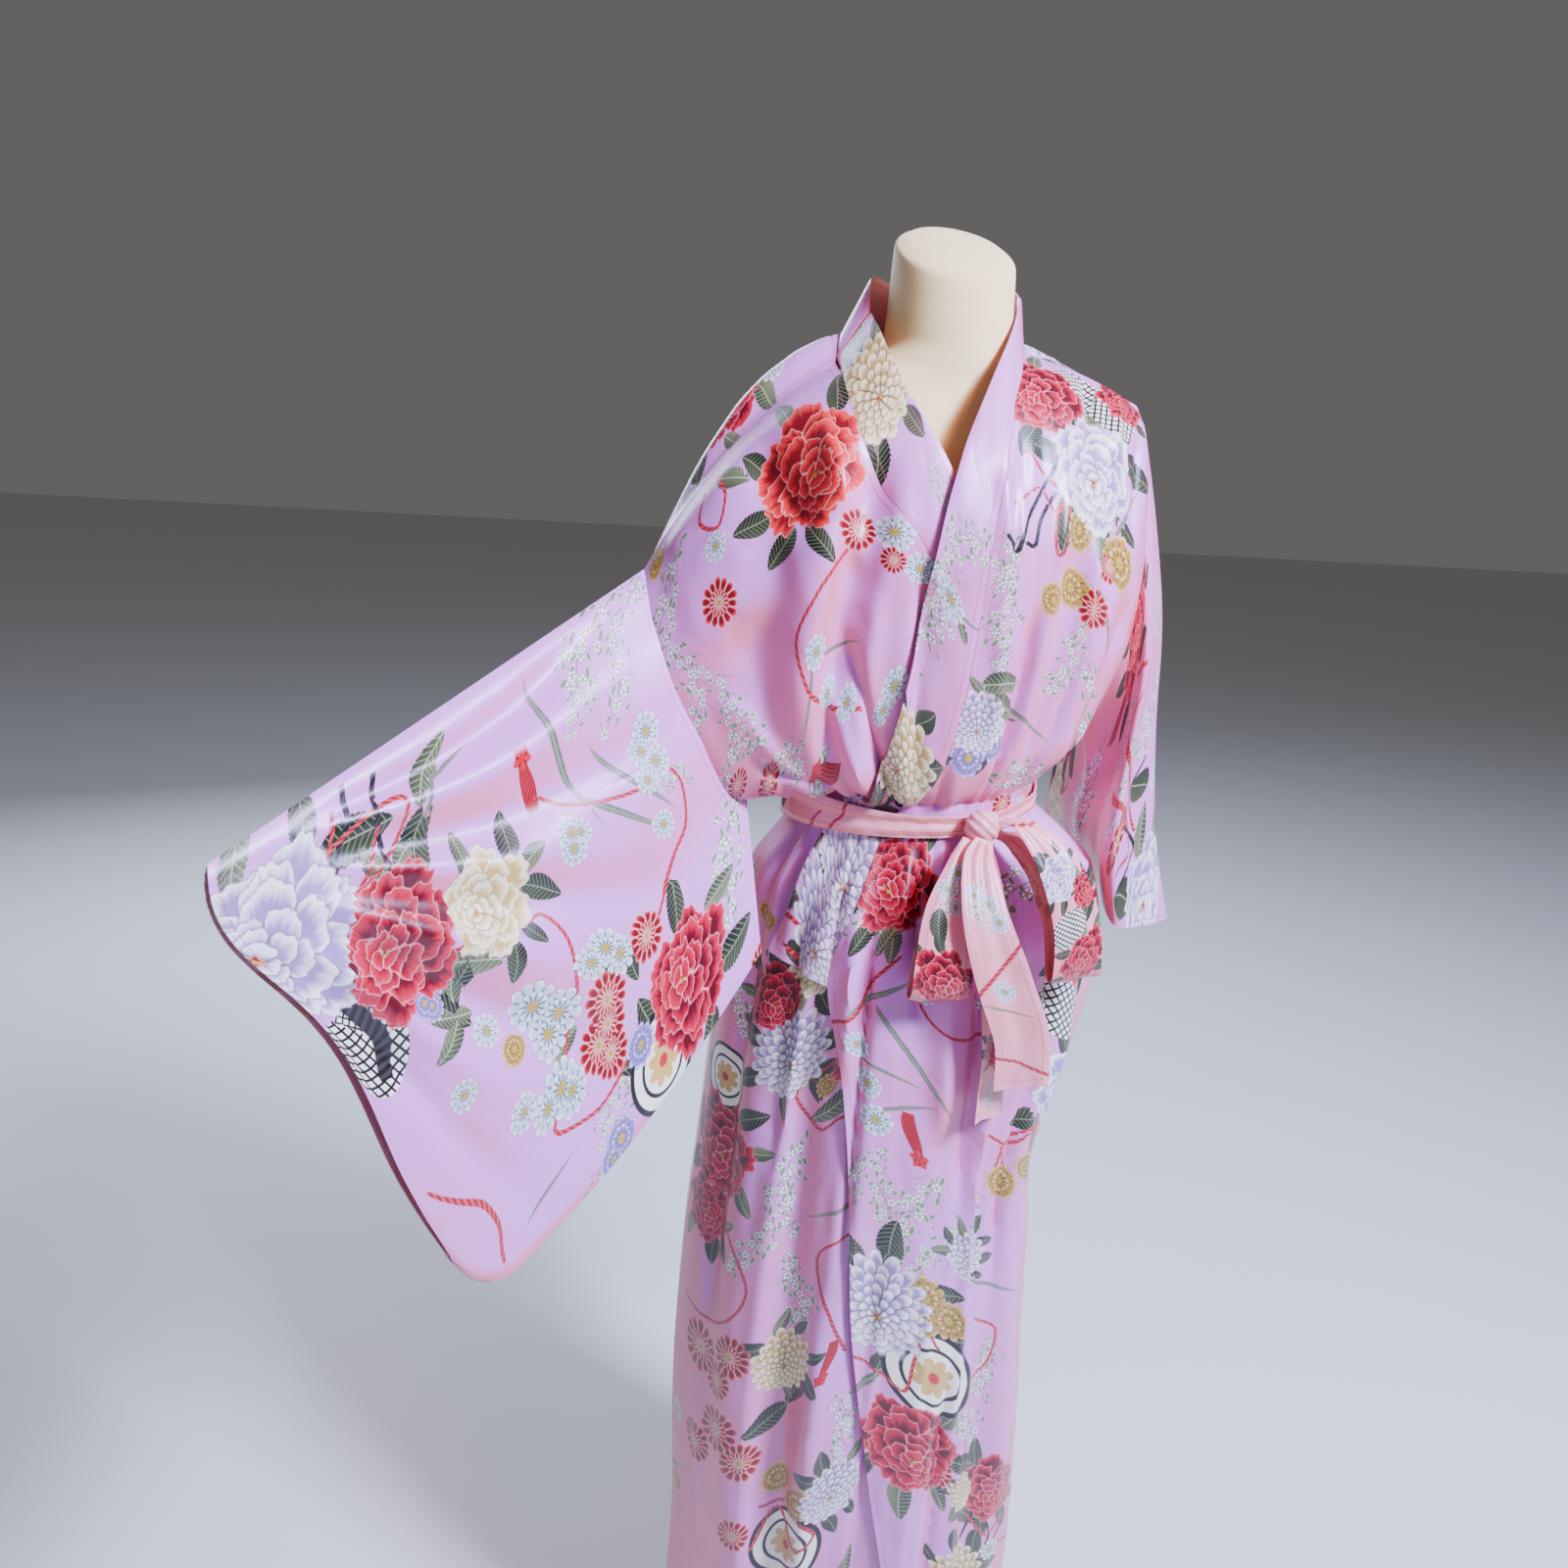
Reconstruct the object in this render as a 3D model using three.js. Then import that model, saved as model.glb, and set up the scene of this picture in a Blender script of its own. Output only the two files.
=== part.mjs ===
import * as THREE from "three";

// A long printed satin kimono robe, closed left over right with a tied belt, on a limbless dress form.
// Millimetres, +Z up. The robe's front faces -Y and the wearer's right side is -X.
// The origin is the centre of the underside of the stand's base disc.

// Driving dimensions
const CLOTH = 2;              // wall of every cloth piece
const SEAM = 0.3;             // gap between two pieces sewn together
const OVERLAP_LIFT = 7;       // how far the left front lies outside the right front
const BAND = 2.6;             // the collar bands are of doubled cloth
const BELT_LIFT = 5.6;         // the belt lies this far outside the robe
const BELT_REST = 2.3;         // and this much closer to it behind, where it rests on the back
const FRONT_CURVE = 2.2;      // how late the shoulder line starts to fall, in front
const BACK_CURVE = 3.0;       // and behind
const BAND_END = 0.412;       // where the collar bands end below the belt, as a fraction of the length
const BAND_SLANT = 0.013;     // how much higher the free corner of that end is
const BASE_RADIUS = 150;
const BASE_HEIGHT = 14;
const POLE_RADIUS = 15;

const ROSE = 0xe6a9b6;
const PALE_ROSE = 0xefb9c0;
const CREAM = 0xe9e2d0;
const STEEL = 0x8c8c8c;

// Levels of the robe's body from the shoulder seams to the hem. For each level: its place along the
// length, and the height and depth of the centre line of the fronts and of the back.
const LEVELS = [
  { name: "shoulder", at: 0.000, frontZ: 1500, frontY: -8, backZ: 1500, backY: -8 },
  { name: "collar", at: 0.025, frontZ: 1482, frontY: -48, backZ: 1513, backY: 28 },
  { name: "chest", at: 0.055, frontZ: 1440, frontY: -86, backZ: 1496, backY: 66 },
  { name: "bust", at: 0.095, frontZ: 1385, frontY: -113, backZ: 1445, backY: 92 },
  { name: "high", at: 0.135, frontZ: 1330, frontY: -124, backZ: 1370, backY: 103 },
  { name: "ribs", at: 0.190, frontZ: 1250, frontY: -123, backZ: 1270, backY: 100 },
  { name: "blouse", at: 0.255, frontZ: 1145, frontY: -118, backZ: 1165, backY: 94 },
  { name: "tuck", at: 0.282, frontZ: 1112, frontY: -106, backZ: 1126, backY: 84 },
  { name: "beltTop", at: 0.298, frontZ: 1098, frontY: -96, backZ: 1112, backY: 79 },
  { name: "beltBottom", at: 0.320, frontZ: 1070, frontY: -96, backZ: 1082, backY: 79 },
  { name: "hip", at: 0.355, frontZ: 1005, frontY: -117, backZ: 1010, backY: 104 },
  { name: "seat", at: 0.410, frontZ: 930, frontY: -133, backZ: 932, backY: 125 },
  { name: "thigh", at: 0.465, frontZ: 850, frontY: -141, backZ: 850, backY: 134 },
  { name: "lap", at: 0.555, frontZ: 720, frontY: -146, backZ: 720, backY: 139 },
  { name: "knee", at: 0.635, frontZ: 600, frontY: -150, backZ: 600, backY: 143 },
  { name: "shin", at: 0.755, frontZ: 420, frontY: -154, backZ: 420, backY: 148 },
  { name: "ankle", at: 0.880, frontZ: 230, frontY: -157, backZ: 230, backY: 152 },
  { name: "hem", at: 1.000, frontZ: 46, frontY: -158, backZ: 46, backY: 154 },
];

// The outer edges of the same levels: the armhole down to the underarm, then the side seam.
// reach is the distance from the centre line, frontY and backY the depth of the two layers there,
// and bow how straight the cloth runs out to that edge: 0.5 is round, 1 is nearly straight.
const RIGHT_EDGE = [
  { name: "shoulder", reach: 268, z: 1290, frontY: -38, backY: -38, bow: 0.9 },
  { name: "collar", reach: 267, z: 1279, frontY: -50, backY: -20, bow: 0.9 },
  { name: "chest", reach: 264, z: 1258, frontY: -62, backY: -12, bow: 0.9 },
  { name: "bust", reach: 256, z: 1230, frontY: -76, backY: -8, bow: 0.95 },
  { name: "high", reach: 244, z: 1197, frontY: -84, backY: -10, bow: 0.95 },
  { name: "ribs", reach: 222, z: 1156, frontY: -84, backY: -18, bow: 0.9 },
  { name: "blouse", reach: 177, z: 1090, frontY: -62, backY: -48, bow: 0.7 },
  { name: "tuck", reach: 150, z: 1089, frontY: -38, backY: -38, bow: 0.55 },
  { name: "beltTop", reach: 115, z: 1111, frontY: -8, backY: -8, bow: 0.5 },
  { name: "beltBottom", reach: 117, z: 1068, frontY: -6, backY: -6, bow: 0.5 },
  { name: "hip", reach: 152, z: 1004, frontY: 0, backY: 0, bow: 0.5 },
  { name: "seat", reach: 169, z: 930, frontY: 0, backY: 0, bow: 0.5 },
  { name: "thigh", reach: 181, z: 850, frontY: 0, backY: 0, bow: 0.5 },
  { name: "lap", reach: 192, z: 720, frontY: 0, backY: 0, bow: 0.5 },
  { name: "knee", reach: 202, z: 600, frontY: 0, backY: 0, bow: 0.5 },
  { name: "shin", reach: 208, z: 420, frontY: 0, backY: 0, bow: 0.5 },
  { name: "ankle", reach: 203, z: 230, frontY: 0, backY: 0, bow: 0.5 },
  { name: "hem", reach: 210, z: 46, frontY: 0, backY: 0, bow: 0.5 },
];
const LEFT_EDGE = [
  { name: "shoulder", reach: 186, z: 1458, frontY: -10, backY: -10, bow: 0.8 },
  { name: "collar", reach: 189, z: 1436, frontY: -27, backY: 8, bow: 0.8 },
  { name: "chest", reach: 190, z: 1404, frontY: -40, backY: 20, bow: 0.75 },
  { name: "bust", reach: 190, z: 1360, frontY: -50, backY: 28, bow: 0.7 },
  { name: "high", reach: 190, z: 1312, frontY: -55, backY: 30, bow: 0.65 },
  { name: "ribs", reach: 185, z: 1250, frontY: -54, backY: 24, bow: 0.6 },
  { name: "blouse", reach: 166, z: 1168, frontY: -20, backY: -4, bow: 0.55 },
  { name: "tuck", reach: 142, z: 1143, frontY: -8, backY: -8, bow: 0.5 },
  { name: "beltTop", reach: 117, z: 1118, frontY: -6, backY: -6, bow: 0.5 },
  { name: "beltBottom", reach: 118, z: 1092, frontY: -4, backY: -4, bow: 0.5 },
  { name: "hip", reach: 197, z: 1016, frontY: 0, backY: 0, bow: 0.5 },
  { name: "seat", reach: 214, z: 936, frontY: 0, backY: 0, bow: 0.5 },
  { name: "thigh", reach: 202, z: 850, frontY: 0, backY: 0, bow: 0.5 },
  { name: "lap", reach: 162, z: 720, frontY: 0, backY: 0, bow: 0.5 },
  { name: "knee", reach: 167, z: 600, frontY: 0, backY: 0, bow: 0.5 },
  { name: "shin", reach: 182, z: 420, frontY: 0, backY: 0, bow: 0.5 },
  { name: "ankle", reach: 192, z: 230, frontY: 0, backY: 0, bow: 0.5 },
  { name: "hem", reach: 187, z: 46, frontY: 0, backY: 0, bow: 0.5 },
];

// Where each front ends towards the other side, as a distance from the centre line, and how wide
// its collar band shows there.
const FRONT_EDGES = [
  { name: "shoulder", over: 70, overBand: 12, under: -104, underBand: 34 },
  { name: "collar", over: 56, overBand: 22, under: -104, underBand: 42 },
  { name: "chest", over: 36, overBand: 33, under: -98, underBand: 52 },
  { name: "bust", over: 21, overBand: 41, under: -80, underBand: 60 },
  { name: "high", over: 12, overBand: 46, under: -44, underBand: 60 },
  { name: "ribs", over: 7, overBand: 51, under: 2, underBand: 54 },
  { name: "blouse", over: -7, overBand: 54, under: 28, underBand: 50 },
  { name: "tuck", over: -20, overBand: 50, under: 34, underBand: 47 },
  { name: "beltTop", over: -31, overBand: 45, under: 36, underBand: 46 },
  { name: "beltBottom", over: -45, overBand: 45, under: 38, underBand: 46 },
  { name: "hip", over: -70, overBand: 50, under: 46, underBand: 54 },
  { name: "seat", over: -94, overBand: 48, under: 54, underBand: 56 },
  { name: "thigh", over: -80, overBand: 50, under: 66, underBand: 56 },
  { name: "lap", over: -66, overBand: 50, under: 74, underBand: 56 },
  { name: "knee", over: -58, overBand: 50, under: 78, underBand: 56 },
  { name: "shin", over: -30, overBand: 50, under: 84, underBand: 56 },
  { name: "ankle", over: 3, overBand: 50, under: 90, underBand: 56 },
  { name: "hem", over: 16, overBand: 50, under: 94, underBand: 56 },
];

// The largest folds of the body. across and toAcross are where the fold starts and ends, as a signed
// fraction of the width; from and to are its reach down the length; out is how far it stands out.
const FRONT_FOLDS = [
  { across: -0.30, toAcross: -0.62, from: 0.06, to: 0.27, out: -13, width: 0.07 },
  { across: -0.40, toAcross: -0.78, from: 0.04, to: 0.26, out: 9, width: 0.09 },
  { across: -0.78, toAcross: -0.70, from: 0.12, to: 0.28, out: -8, width: 0.09 },
  { across: 0.52, toAcross: 0.40, from: 0.10, to: 0.29, out: -9, width: 0.09 },
  { across: 0.76, toAcross: 0.62, from: 0.12, to: 0.29, out: 8, width: 0.10 },
  { across: 0.44, toAcross: 0.44, from: 0.36, to: 1.00, out: -12, width: 0.11 },
  { across: 0.66, toAcross: 0.68, from: 0.34, to: 0.90, out: 8, width: 0.11 },
  { across: 0.86, toAcross: 0.86, from: 0.36, to: 1.00, out: -9, width: 0.08 },
  { across: -0.62, toAcross: -0.50, from: 0.40, to: 1.00, out: -12, width: 0.08 },
  { across: -0.82, toAcross: -0.76, from: 0.36, to: 1.00, out: 7, width: 0.08 },
];
const BACK_FOLDS = [
  { across: -0.70, toAcross: -0.55, from: 0.10, to: 0.29, out: -9, width: 0.10 },
  { across: -0.20, toAcross: -0.16, from: 0.14, to: 0.30, out: -7, width: 0.10 },
  { across: 0.34, toAcross: 0.26, from: 0.16, to: 0.29, out: -8, width: 0.10 },
  { across: 0.74, toAcross: 0.58, from: 0.12, to: 0.29, out: 8, width: 0.10 },
  { across: -0.72, toAcross: -0.78, from: 0.34, to: 1.00, out: -11, width: 0.08 },
  { across: -0.36, toAcross: -0.42, from: 0.33, to: 1.00, out: -14, width: 0.09 },
  { across: 0.02, toAcross: 0.00, from: 0.35, to: 0.95, out: 8, width: 0.11 },
  { across: 0.38, toAcross: 0.42, from: 0.33, to: 1.00, out: -13, width: 0.08 },
  { across: 0.76, toAcross: 0.78, from: 0.36, to: 1.00, out: -12, width: 0.09 },
];

// The dress form: half sizes of its sections, their middle depth, and how far each tilts forward.
const FORM = [
  { name: "bottom", z: 800, halfWidth: 150, halfDepth: 98, y: 4, tilt: 0 },
  { name: "hips", z: 880, halfWidth: 164, halfDepth: 110, y: 5, tilt: 0 },
  { name: "highHip", z: 985, halfWidth: 140, halfDepth: 94, y: 3, tilt: 0 },
  { name: "waist", z: 1082, halfWidth: 103, halfDepth: 76, y: -6, tilt: 0 },
  { name: "ribs", z: 1180, halfWidth: 121, halfDepth: 88, y: -6, tilt: 0 },
  { name: "bust", z: 1310, halfWidth: 146, halfDepth: 98, y: -8, tilt: 0 },
  { name: "chest", z: 1385, halfWidth: 160, halfDepth: 86, y: -2, tilt: 0 },
  { name: "tips", z: 1432.5, halfWidth: 158, halfDepth: 64, y: 2, tilt: 0 },
  { name: "slope", z: 1461.6, halfWidth: 122, halfDepth: 55, y: 2, tilt: 0 },
  { name: "neckRoot", z: 1478.5, halfWidth: 76, halfDepth: 54, y: 0, tilt: 0 },
  { name: "neck", z: 1500, halfWidth: 58, halfDepth: 54, y: -1, tilt: 0.05 },
  { name: "neckMiddle", z: 1536, halfWidth: 56, halfDepth: 53, y: -2, tilt: 0.3 },
  { name: "rim", z: 1572, halfWidth: 54, halfDepth: 51, y: -2, tilt: 0.55 },
  { name: "top", z: 1580, halfWidth: 44, halfDepth: 42, y: -2, tilt: 0.55 },
];

// Corners of the sleeves, away from the armholes. The right sleeve is held out by its upper cuff
// corner; the left one hangs beside the hip, and its cuff is a loop through four corners.
const RIGHT_SLEEVE = {
  cuffTop: [-556, -330, 1120],
  cuffBottom: [-396, -296, 758],
  innerBottom: [-160, -112, 962],
  cornerRadius: 45,
  cuffOut: 16,
  bottomSag: 26,
  gap: 5,
  belly: 30,
};
const LEFT_CUFF = [
  { name: "outer", x: 298, y: 4, z: 950 },
  { name: "front", x: 208, y: -64, z: 962 },
  { name: "inner", x: 226, y: 46, z: 984 },
  { name: "back", x: 222, y: 152, z: 972 },
];
const FACE_GAP = 0.9;         // how far the left sleeve's two faces each stand back where they meet
const LEFT_PUFF = 9;          // how far the left sleeve stands out near its armhole, and in near its cuff
const UNDERARM = 0.262;       // where the armholes end and the side seams begin, down the length

// The standing part of the collar: from the seam up to the free edge, at both shoulders and the nape.
const STAND_RIGHT = [32, 14, 46];
const STAND_NAPE = [0, -6, 58];
const STAND_LEFT = [-2, 16, 50];
const STAND_FADE = 0.085;     // below this place down the length the bands lie flat on the chest
const NAPE_DROP = 0.055;      // how far the back is cut down at the nape, along the length
const NECK_SEAM = 0.05;       // the standing band starts this far up from its seam, along its width

// The bow's strips, each from the knot to its end or round its loop: the middle line, the width,
// and the direction across the strip.
const BOW = {
  left_loop: [
    { x: 22.6, y: -124.2, z: 1070.8, width: 14, acrossY: 0 },
    { x: 10, y: -143, z: 1052, width: 26, acrossY: 0 },
    { x: -4, y: -160, z: 1012, width: 44, acrossY: 0 },
    { x: -8, y: -173, z: 968, width: 52, acrossY: -0.1 },
    { x: -8, y: -171, z: 940, width: 53, acrossY: -0.1 },
    { x: -8, y: -157, z: 936, width: 53, acrossY: -0.1 },
    { x: -6, y: -152, z: 962, width: 50, acrossY: -0.1 },
    { x: 0, y: -143, z: 1006, width: 40, acrossY: 0 },
    { x: 14, y: -128, z: 1048, width: 24, acrossY: 0 },
    { x: 27, y: -114, z: 1067, width: 12, acrossY: 0 },
  ],
  right_loop: [
    { x: 53.6, y: -120, z: 1090, width: 14, acrossY: 0 },
    { x: 72, y: -136, z: 1084, width: 26, acrossY: 0.2 },
    { x: 98, y: -152, z: 1054, width: 44, acrossY: 0.2 },
    { x: 118, y: -160, z: 1004, width: 50, acrossY: 0.2 },
    { x: 124, y: -160, z: 956, width: 52, acrossY: 0.2 },
    { x: 124, y: -146, z: 950, width: 52, acrossY: 0.2 },
    { x: 116, y: -138, z: 998, width: 48, acrossY: 0.2 },
    { x: 94, y: -132, z: 1042, width: 38, acrossY: 0.2 },
    { x: 70, y: -122, z: 1066, width: 24, acrossY: 0.1 },
    { x: 51.6, y: -113, z: 1073, width: 12, acrossY: 0 },
  ],
  long_tail: [
    { x: 33, y: -130.9, z: 1073, width: 16, acrossY: 0 },
    { x: 22, y: -152, z: 1054, width: 30, acrossY: 0 },
    { x: 26, y: -176, z: 1010, width: 44, acrossY: 0 },
    { x: 46, y: -183, z: 955, width: 50, acrossY: 0 },
    { x: 66, y: -184, z: 905, width: 51, acrossY: 0 },
    { x: 71, y: -184, z: 856, width: 52, acrossY: 0 },
  ],
  second_tail: [
    { x: 39, y: -121, z: 1065.2, width: 12, acrossY: 0 },
    { x: 42, y: -138, z: 1030, width: 20, acrossY: 0 },
    { x: 46, y: -150, z: 985, width: 32, acrossY: 0.3 },
    { x: 50, y: -158, z: 930, width: 40, acrossY: 0.5 },
    { x: 53, y: -163, z: 870, width: 42, acrossY: 0.6 },
    { x: 52, y: -165, z: 815, width: 42, acrossY: 0.6 },
  ],
};
const KNOT = { x: 35, y: -119.0, z: 1081, radiusX: 17, radiusY: 12, radiusZ: 16 };
const BELT_PLACE = 0.3149;    // the belt's middle, along the length
const BELT_HALF = 0.0082;     // half its width at the right side, along the length
const BELT_KNOT_HALF = 0.007; // and beside the knot, where it is bunched

// Values between the rows of a table, without overshoot.
function track(places, values) {
  const last = places.length - 1;
  const slope = [];
  for (let i = 0; i < last; i += 1) {
    slope.push((values[i + 1] - values[i]) / (places[i + 1] - places[i]));
  }
  const tangent = [slope[0]];
  for (let i = 1; i < last; i += 1) {
    const same = slope[i - 1] * slope[i] > 0;
    tangent.push(same ? (2 * slope[i - 1] * slope[i]) / (slope[i - 1] + slope[i]) : 0);
  }
  tangent.push(slope[last - 1]);
  return (at) => {
    let i = 0;
    while (i < last - 1 && at > places[i + 1]) {
      i += 1;
    }
    const step = places[i + 1] - places[i];
    const t = (at - places[i]) / step;
    const a = 2 * t ** 3 - 3 * t ** 2 + 1;
    const b = t ** 3 - 2 * t ** 2 + t;
    const c = 3 * t ** 2 - 2 * t ** 3;
    const d = t ** 3 - t ** 2;
    return a * values[i] + b * step * tangent[i] + c * values[i + 1] + d * step * tangent[i + 1];
  };
}

const places = LEVELS.map((row) => row.at);

function tracks(table) {
  const found = {};
  for (const column of Object.keys(table[0]).filter((key) => key !== "name" && key !== "at")) {
    found[column] = track(places, table.map((row) => row[column]));
  }
  return found;
}

const level = tracks(LEVELS);
const edges = { right: tracks(RIGHT_EDGE), left: tracks(LEFT_EDGE) };
const frontEdge = tracks(FRONT_EDGES);

function smooth(low, high, value) {
  const t = Math.min(1, Math.max(0, (value - low) / (high - low)));
  return t * t * (3 - 2 * t);
}

// A fold is a long soft ridge or trough that fades at both ends.
function foldHeight(folds, v, across) {
  let total = 0;
  for (const fold of folds) {
    const t = (v - fold.from) / (fold.to - fold.from);
    if (t <= 0 || (t >= 1 && fold.to < 1)) {
      continue;
    }
    const fade = smooth(0, 0.25, t) * (fold.to < 1 ? 1 - smooth(0.75, 1, t) : 1);
    const middle = fold.across + (fold.toAcross - fold.across) * t;
    total += fold.out * fade * Math.exp(-(((across - middle) / fold.width) ** 2));
  }
  const sides = 1 - smooth(0.9, 1, Math.abs(across));
  return total * sides;
}

// A point of the body's plain form. across runs from -1 at the right edge to 1 at the left edge.
function bodyForm(face, v, across) {
  const edge = across < 0 ? edges.right : edges.left;
  const t = Math.min(1, Math.abs(across));
  const reach = edge.reach(v);
  const midZ = level[`${face}Z`](v);
  const midY = level[`${face}Y`](v);
  const edgeY = edge[`${face}Y`](v);
  const bulge = Math.max(0, 1 - t * t) ** edge.bow(v);
  const curve = FRONT_CURVE + (face === "back" ? (BACK_CURVE - FRONT_CURVE) * smooth(0, 0.025, v) : 0);
  return new THREE.Vector3(
    Math.sign(across) * reach * t,
    edgeY + (midY - edgeY) * bulge,
    midZ + (edge.z(v) - midZ) * t ** curve,
  );
}

function difference(point, v, across, dv, dAcross) {
  const from = point(Math.max(0, v - dv), Math.max(-1, across - dAcross));
  const to = point(Math.min(1, v + dv), Math.min(1, across + dAcross));
  return to.sub(from);
}

function normalOf(point, v, across, face) {
  const down = difference(point, v, across, 0.002, 0);
  const sideways = difference(point, v, across, 0, 0.004);
  const normal = down.cross(sideways).normalize();
  return face === "front" ? normal : normal.negate();
}

// The cloth of one face: its plain form, lifted off it by the folds and by the layers under it.
function bodySheet(face, folds, lift) {
  const plain = (v, across) => bodyForm(face, v, across);
  const point = (v, across) => {
    const height = lift(v, across) + foldHeight(folds, v, across);
    return plain(v, across).addScaledVector(normalOf(plain, v, across, face), height);
  };
  return { point, normal: (v, across) => normalOf(point, v, across, face) };
}

const vector = (numbers) => new THREE.Vector3(...numbers);

function overEdge(v, width = 0) {
  const x = frontEdge.over(v) - width;
  return x / (x < 0 ? edges.right : edges.left).reach(v);
}

function underEdge(v, width = 0) {
  const x = frontEdge.under(v) + width;
  return x / (x < 0 ? edges.right : edges.left).reach(v);
}

const noLift = () => 0;

// The left front lies outside the right front as far as that one reaches.
function overLift(v, across) {
  const reach = underEdge(v, v < BAND_END ? frontEdge.underBand(v) : 0) + 0.1;
  const side = 1 - smooth(Math.min(reach, 0.75), 1, across);
  return OVERLAP_LIFT * side * smooth(0.02, 0.08, v);
}

const sheets = {
  over: bodySheet("front", FRONT_FOLDS, overLift),
  under: bodySheet("front", FRONT_FOLDS, noLift),
  back: bodySheet("back", BACK_FOLDS, noLift),
};

// Seams: at the shoulder and side seams the two faces share one direction of thickness.
function seamNormal(face, v, across) {
  const front = across < 0 ? sheets.under : sheets.over;
  const own = face === "back" ? sheets.back : front;
  const other = face === "back" ? front : sheets.back;
  const apart = own.point(v, across).distanceTo(other.point(v, across));
  const shared = 1 - smooth(3, 10, apart);
  const both = own.normal(v, across).add(other.normal(v, across)).normalize();
  return own.normal(v, across).lerp(both, shared).normalize();
}

// The direction from the body out through its armhole edge.
function outwards(sheet, v, side) {
  return sheet.point(v, side).sub(sheet.point(v, 0.97 * side)).normalize();
}

// Each side of a seam stands back by half of its gap.
function seamShift(sheet, face, v, across) {
  const shift = new THREE.Vector3();
  if (v < UNDERARM && Math.abs(across) === 1) {
    shift.addScaledVector(outwards(sheet, v, across), -SEAM / 2);
  }
  if (v === 0 || (Math.abs(across) === 1 && v >= UNDERARM)) {
    shift.y += (face === "back" ? SEAM : -SEAM) * (v === 0 ? 0.8 : 0.5);
  }
  return shift;
}

// A wall of cloth over a grid of points. Each cell of the grid holds a middle point and a normal.
function wall(grid, thickness, closed = false) {
  const rows = grid.length;
  const columns = grid[0].length;
  const positions = [];
  for (const side of [0.5, -0.5]) {
    for (const row of grid) {
      for (const cell of row) {
        const corner = cell.point.clone().addScaledVector(cell.normal, side * thickness);
        positions.push(corner.x, corner.y, corner.z);
      }
    }
  }
  const index = [];
  const quad = (a, b, c, d) => index.push(a, b, c, a, c, d);
  const outer = (i, j) => i * columns + (j % columns);
  const inner = (i, j) => rows * columns + outer(i, j);
  const across = closed ? columns : columns - 1;
  for (let i = 0; i < rows - 1; i += 1) {
    for (let j = 0; j < across; j += 1) {
      quad(outer(i, j), outer(i + 1, j), outer(i + 1, j + 1), outer(i, j + 1));
      quad(inner(i, j), inner(i, j + 1), inner(i + 1, j + 1), inner(i + 1, j));
    }
  }
  for (let j = 0; j < across; j += 1) {
    quad(outer(0, j), outer(0, j + 1), inner(0, j + 1), inner(0, j));
    quad(outer(rows - 1, j), inner(rows - 1, j), inner(rows - 1, j + 1), outer(rows - 1, j + 1));
  }
  if (!closed) {
    const right = columns - 1;
    for (let i = 0; i < rows - 1; i += 1) {
      quad(outer(i, 0), inner(i, 0), inner(i + 1, 0), outer(i + 1, 0));
      quad(outer(i, right), outer(i + 1, right), inner(i + 1, right), inner(i, right));
    }
  }
  return geometryOf(positions, index);
}

// A closed geometry with its faces pointing out.
function geometryOf(positions, index) {
  let volume = 0;
  const corner = (i) => new THREE.Vector3().fromArray(positions, 3 * i);
  for (let i = 0; i < index.length; i += 3) {
    volume += corner(index[i]).dot(corner(index[i + 1]).cross(corner(index[i + 2])));
  }
  if (volume < 0) {
    index.reverse();
  }
  const geometry = new THREE.BufferGeometry();
  geometry.setAttribute("position", new THREE.Float32BufferAttribute(positions, 3));
  geometry.setIndex(index);
  return geometry;
}

// Rows down the length, closer together where the form changes quickly.
const ROWS = [0, 0.012, 0.028, 0.05, 0.08, 0.12, 0.16, 0.2, 0.235, UNDERARM, 0.282, 0.298,
  BELT_PLACE, 0.323, 0.337, 0.37, BAND_END, 0.47, 0.56, 0.66, 0.77, 0.89, 1];

function bodyCell(sheet, face, v, across) {
  const seam = v === 0 || Math.abs(across) === 1;
  return {
    point: sheet.point(v, across).add(seamShift(sheet, face, v, across)),
    normal: seam ? seamNormal(face, v, across) : sheet.normal(v, across),
  };
}

// Each panel of the body is two solids, a bodice and a skirt, that meet under the belt.
const PARTING = 0.0001;
const BODICE_ROWS = [...ROWS.filter((v) => v < BELT_PLACE), BELT_PLACE - PARTING];
const SKIRT_ROWS = [BELT_PLACE + PARTING, ...ROWS.filter((v) => v > BELT_PLACE)];

// A front panel: from the seam with its collar band out to the armhole and side seam.
function frontPanel(rows, sheet, edgeAt, side, columns) {
  const grid = rows.map((v) => {
    const start = edgeAt(v);
    const row = [];
    for (let j = 0; j <= columns; j += 1) {
      const t = Math.sin((j / columns) * (Math.PI / 2));
      row.push(bodyCell(sheet, "front", v, j === columns ? side : start + (side - start) * t));
    }
    return row;
  });
  return wall(grid, CLOTH);
}

// The back panel's upper edge runs along the shoulder seams and dips round the nape.
function napeEdge(across) {
  const right = underEdge(0);
  const left = overEdge(0);
  const inside = 1 - ((2 * across - right - left) / (left - right)) ** 2;
  return inside > 1e-6 ? NAPE_DROP * inside ** 0.6 : 0;
}

// Columns across the back: outside the neck on each side, and closer together at its corners.
function backStations(outside, neck) {
  const corners = [underEdge(0), overEdge(0)];
  const stations = [];
  for (let j = 0; j < outside; j += 1) {
    stations.push(-1 + (1 + corners[0]) * (1 - Math.cos((j / outside) * (Math.PI / 2))));
  }
  for (let j = 0; j <= neck; j += 1) {
    stations.push(corners[0] + (corners[1] - corners[0]) * (0.5 - 0.5 * Math.cos((j / neck) * Math.PI)));
  }
  for (let j = 1; j <= outside; j += 1) {
    stations.push(corners[1] + (1 - corners[1]) * Math.sin((j / outside) * (Math.PI / 2)));
  }
  return stations;
}

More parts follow.
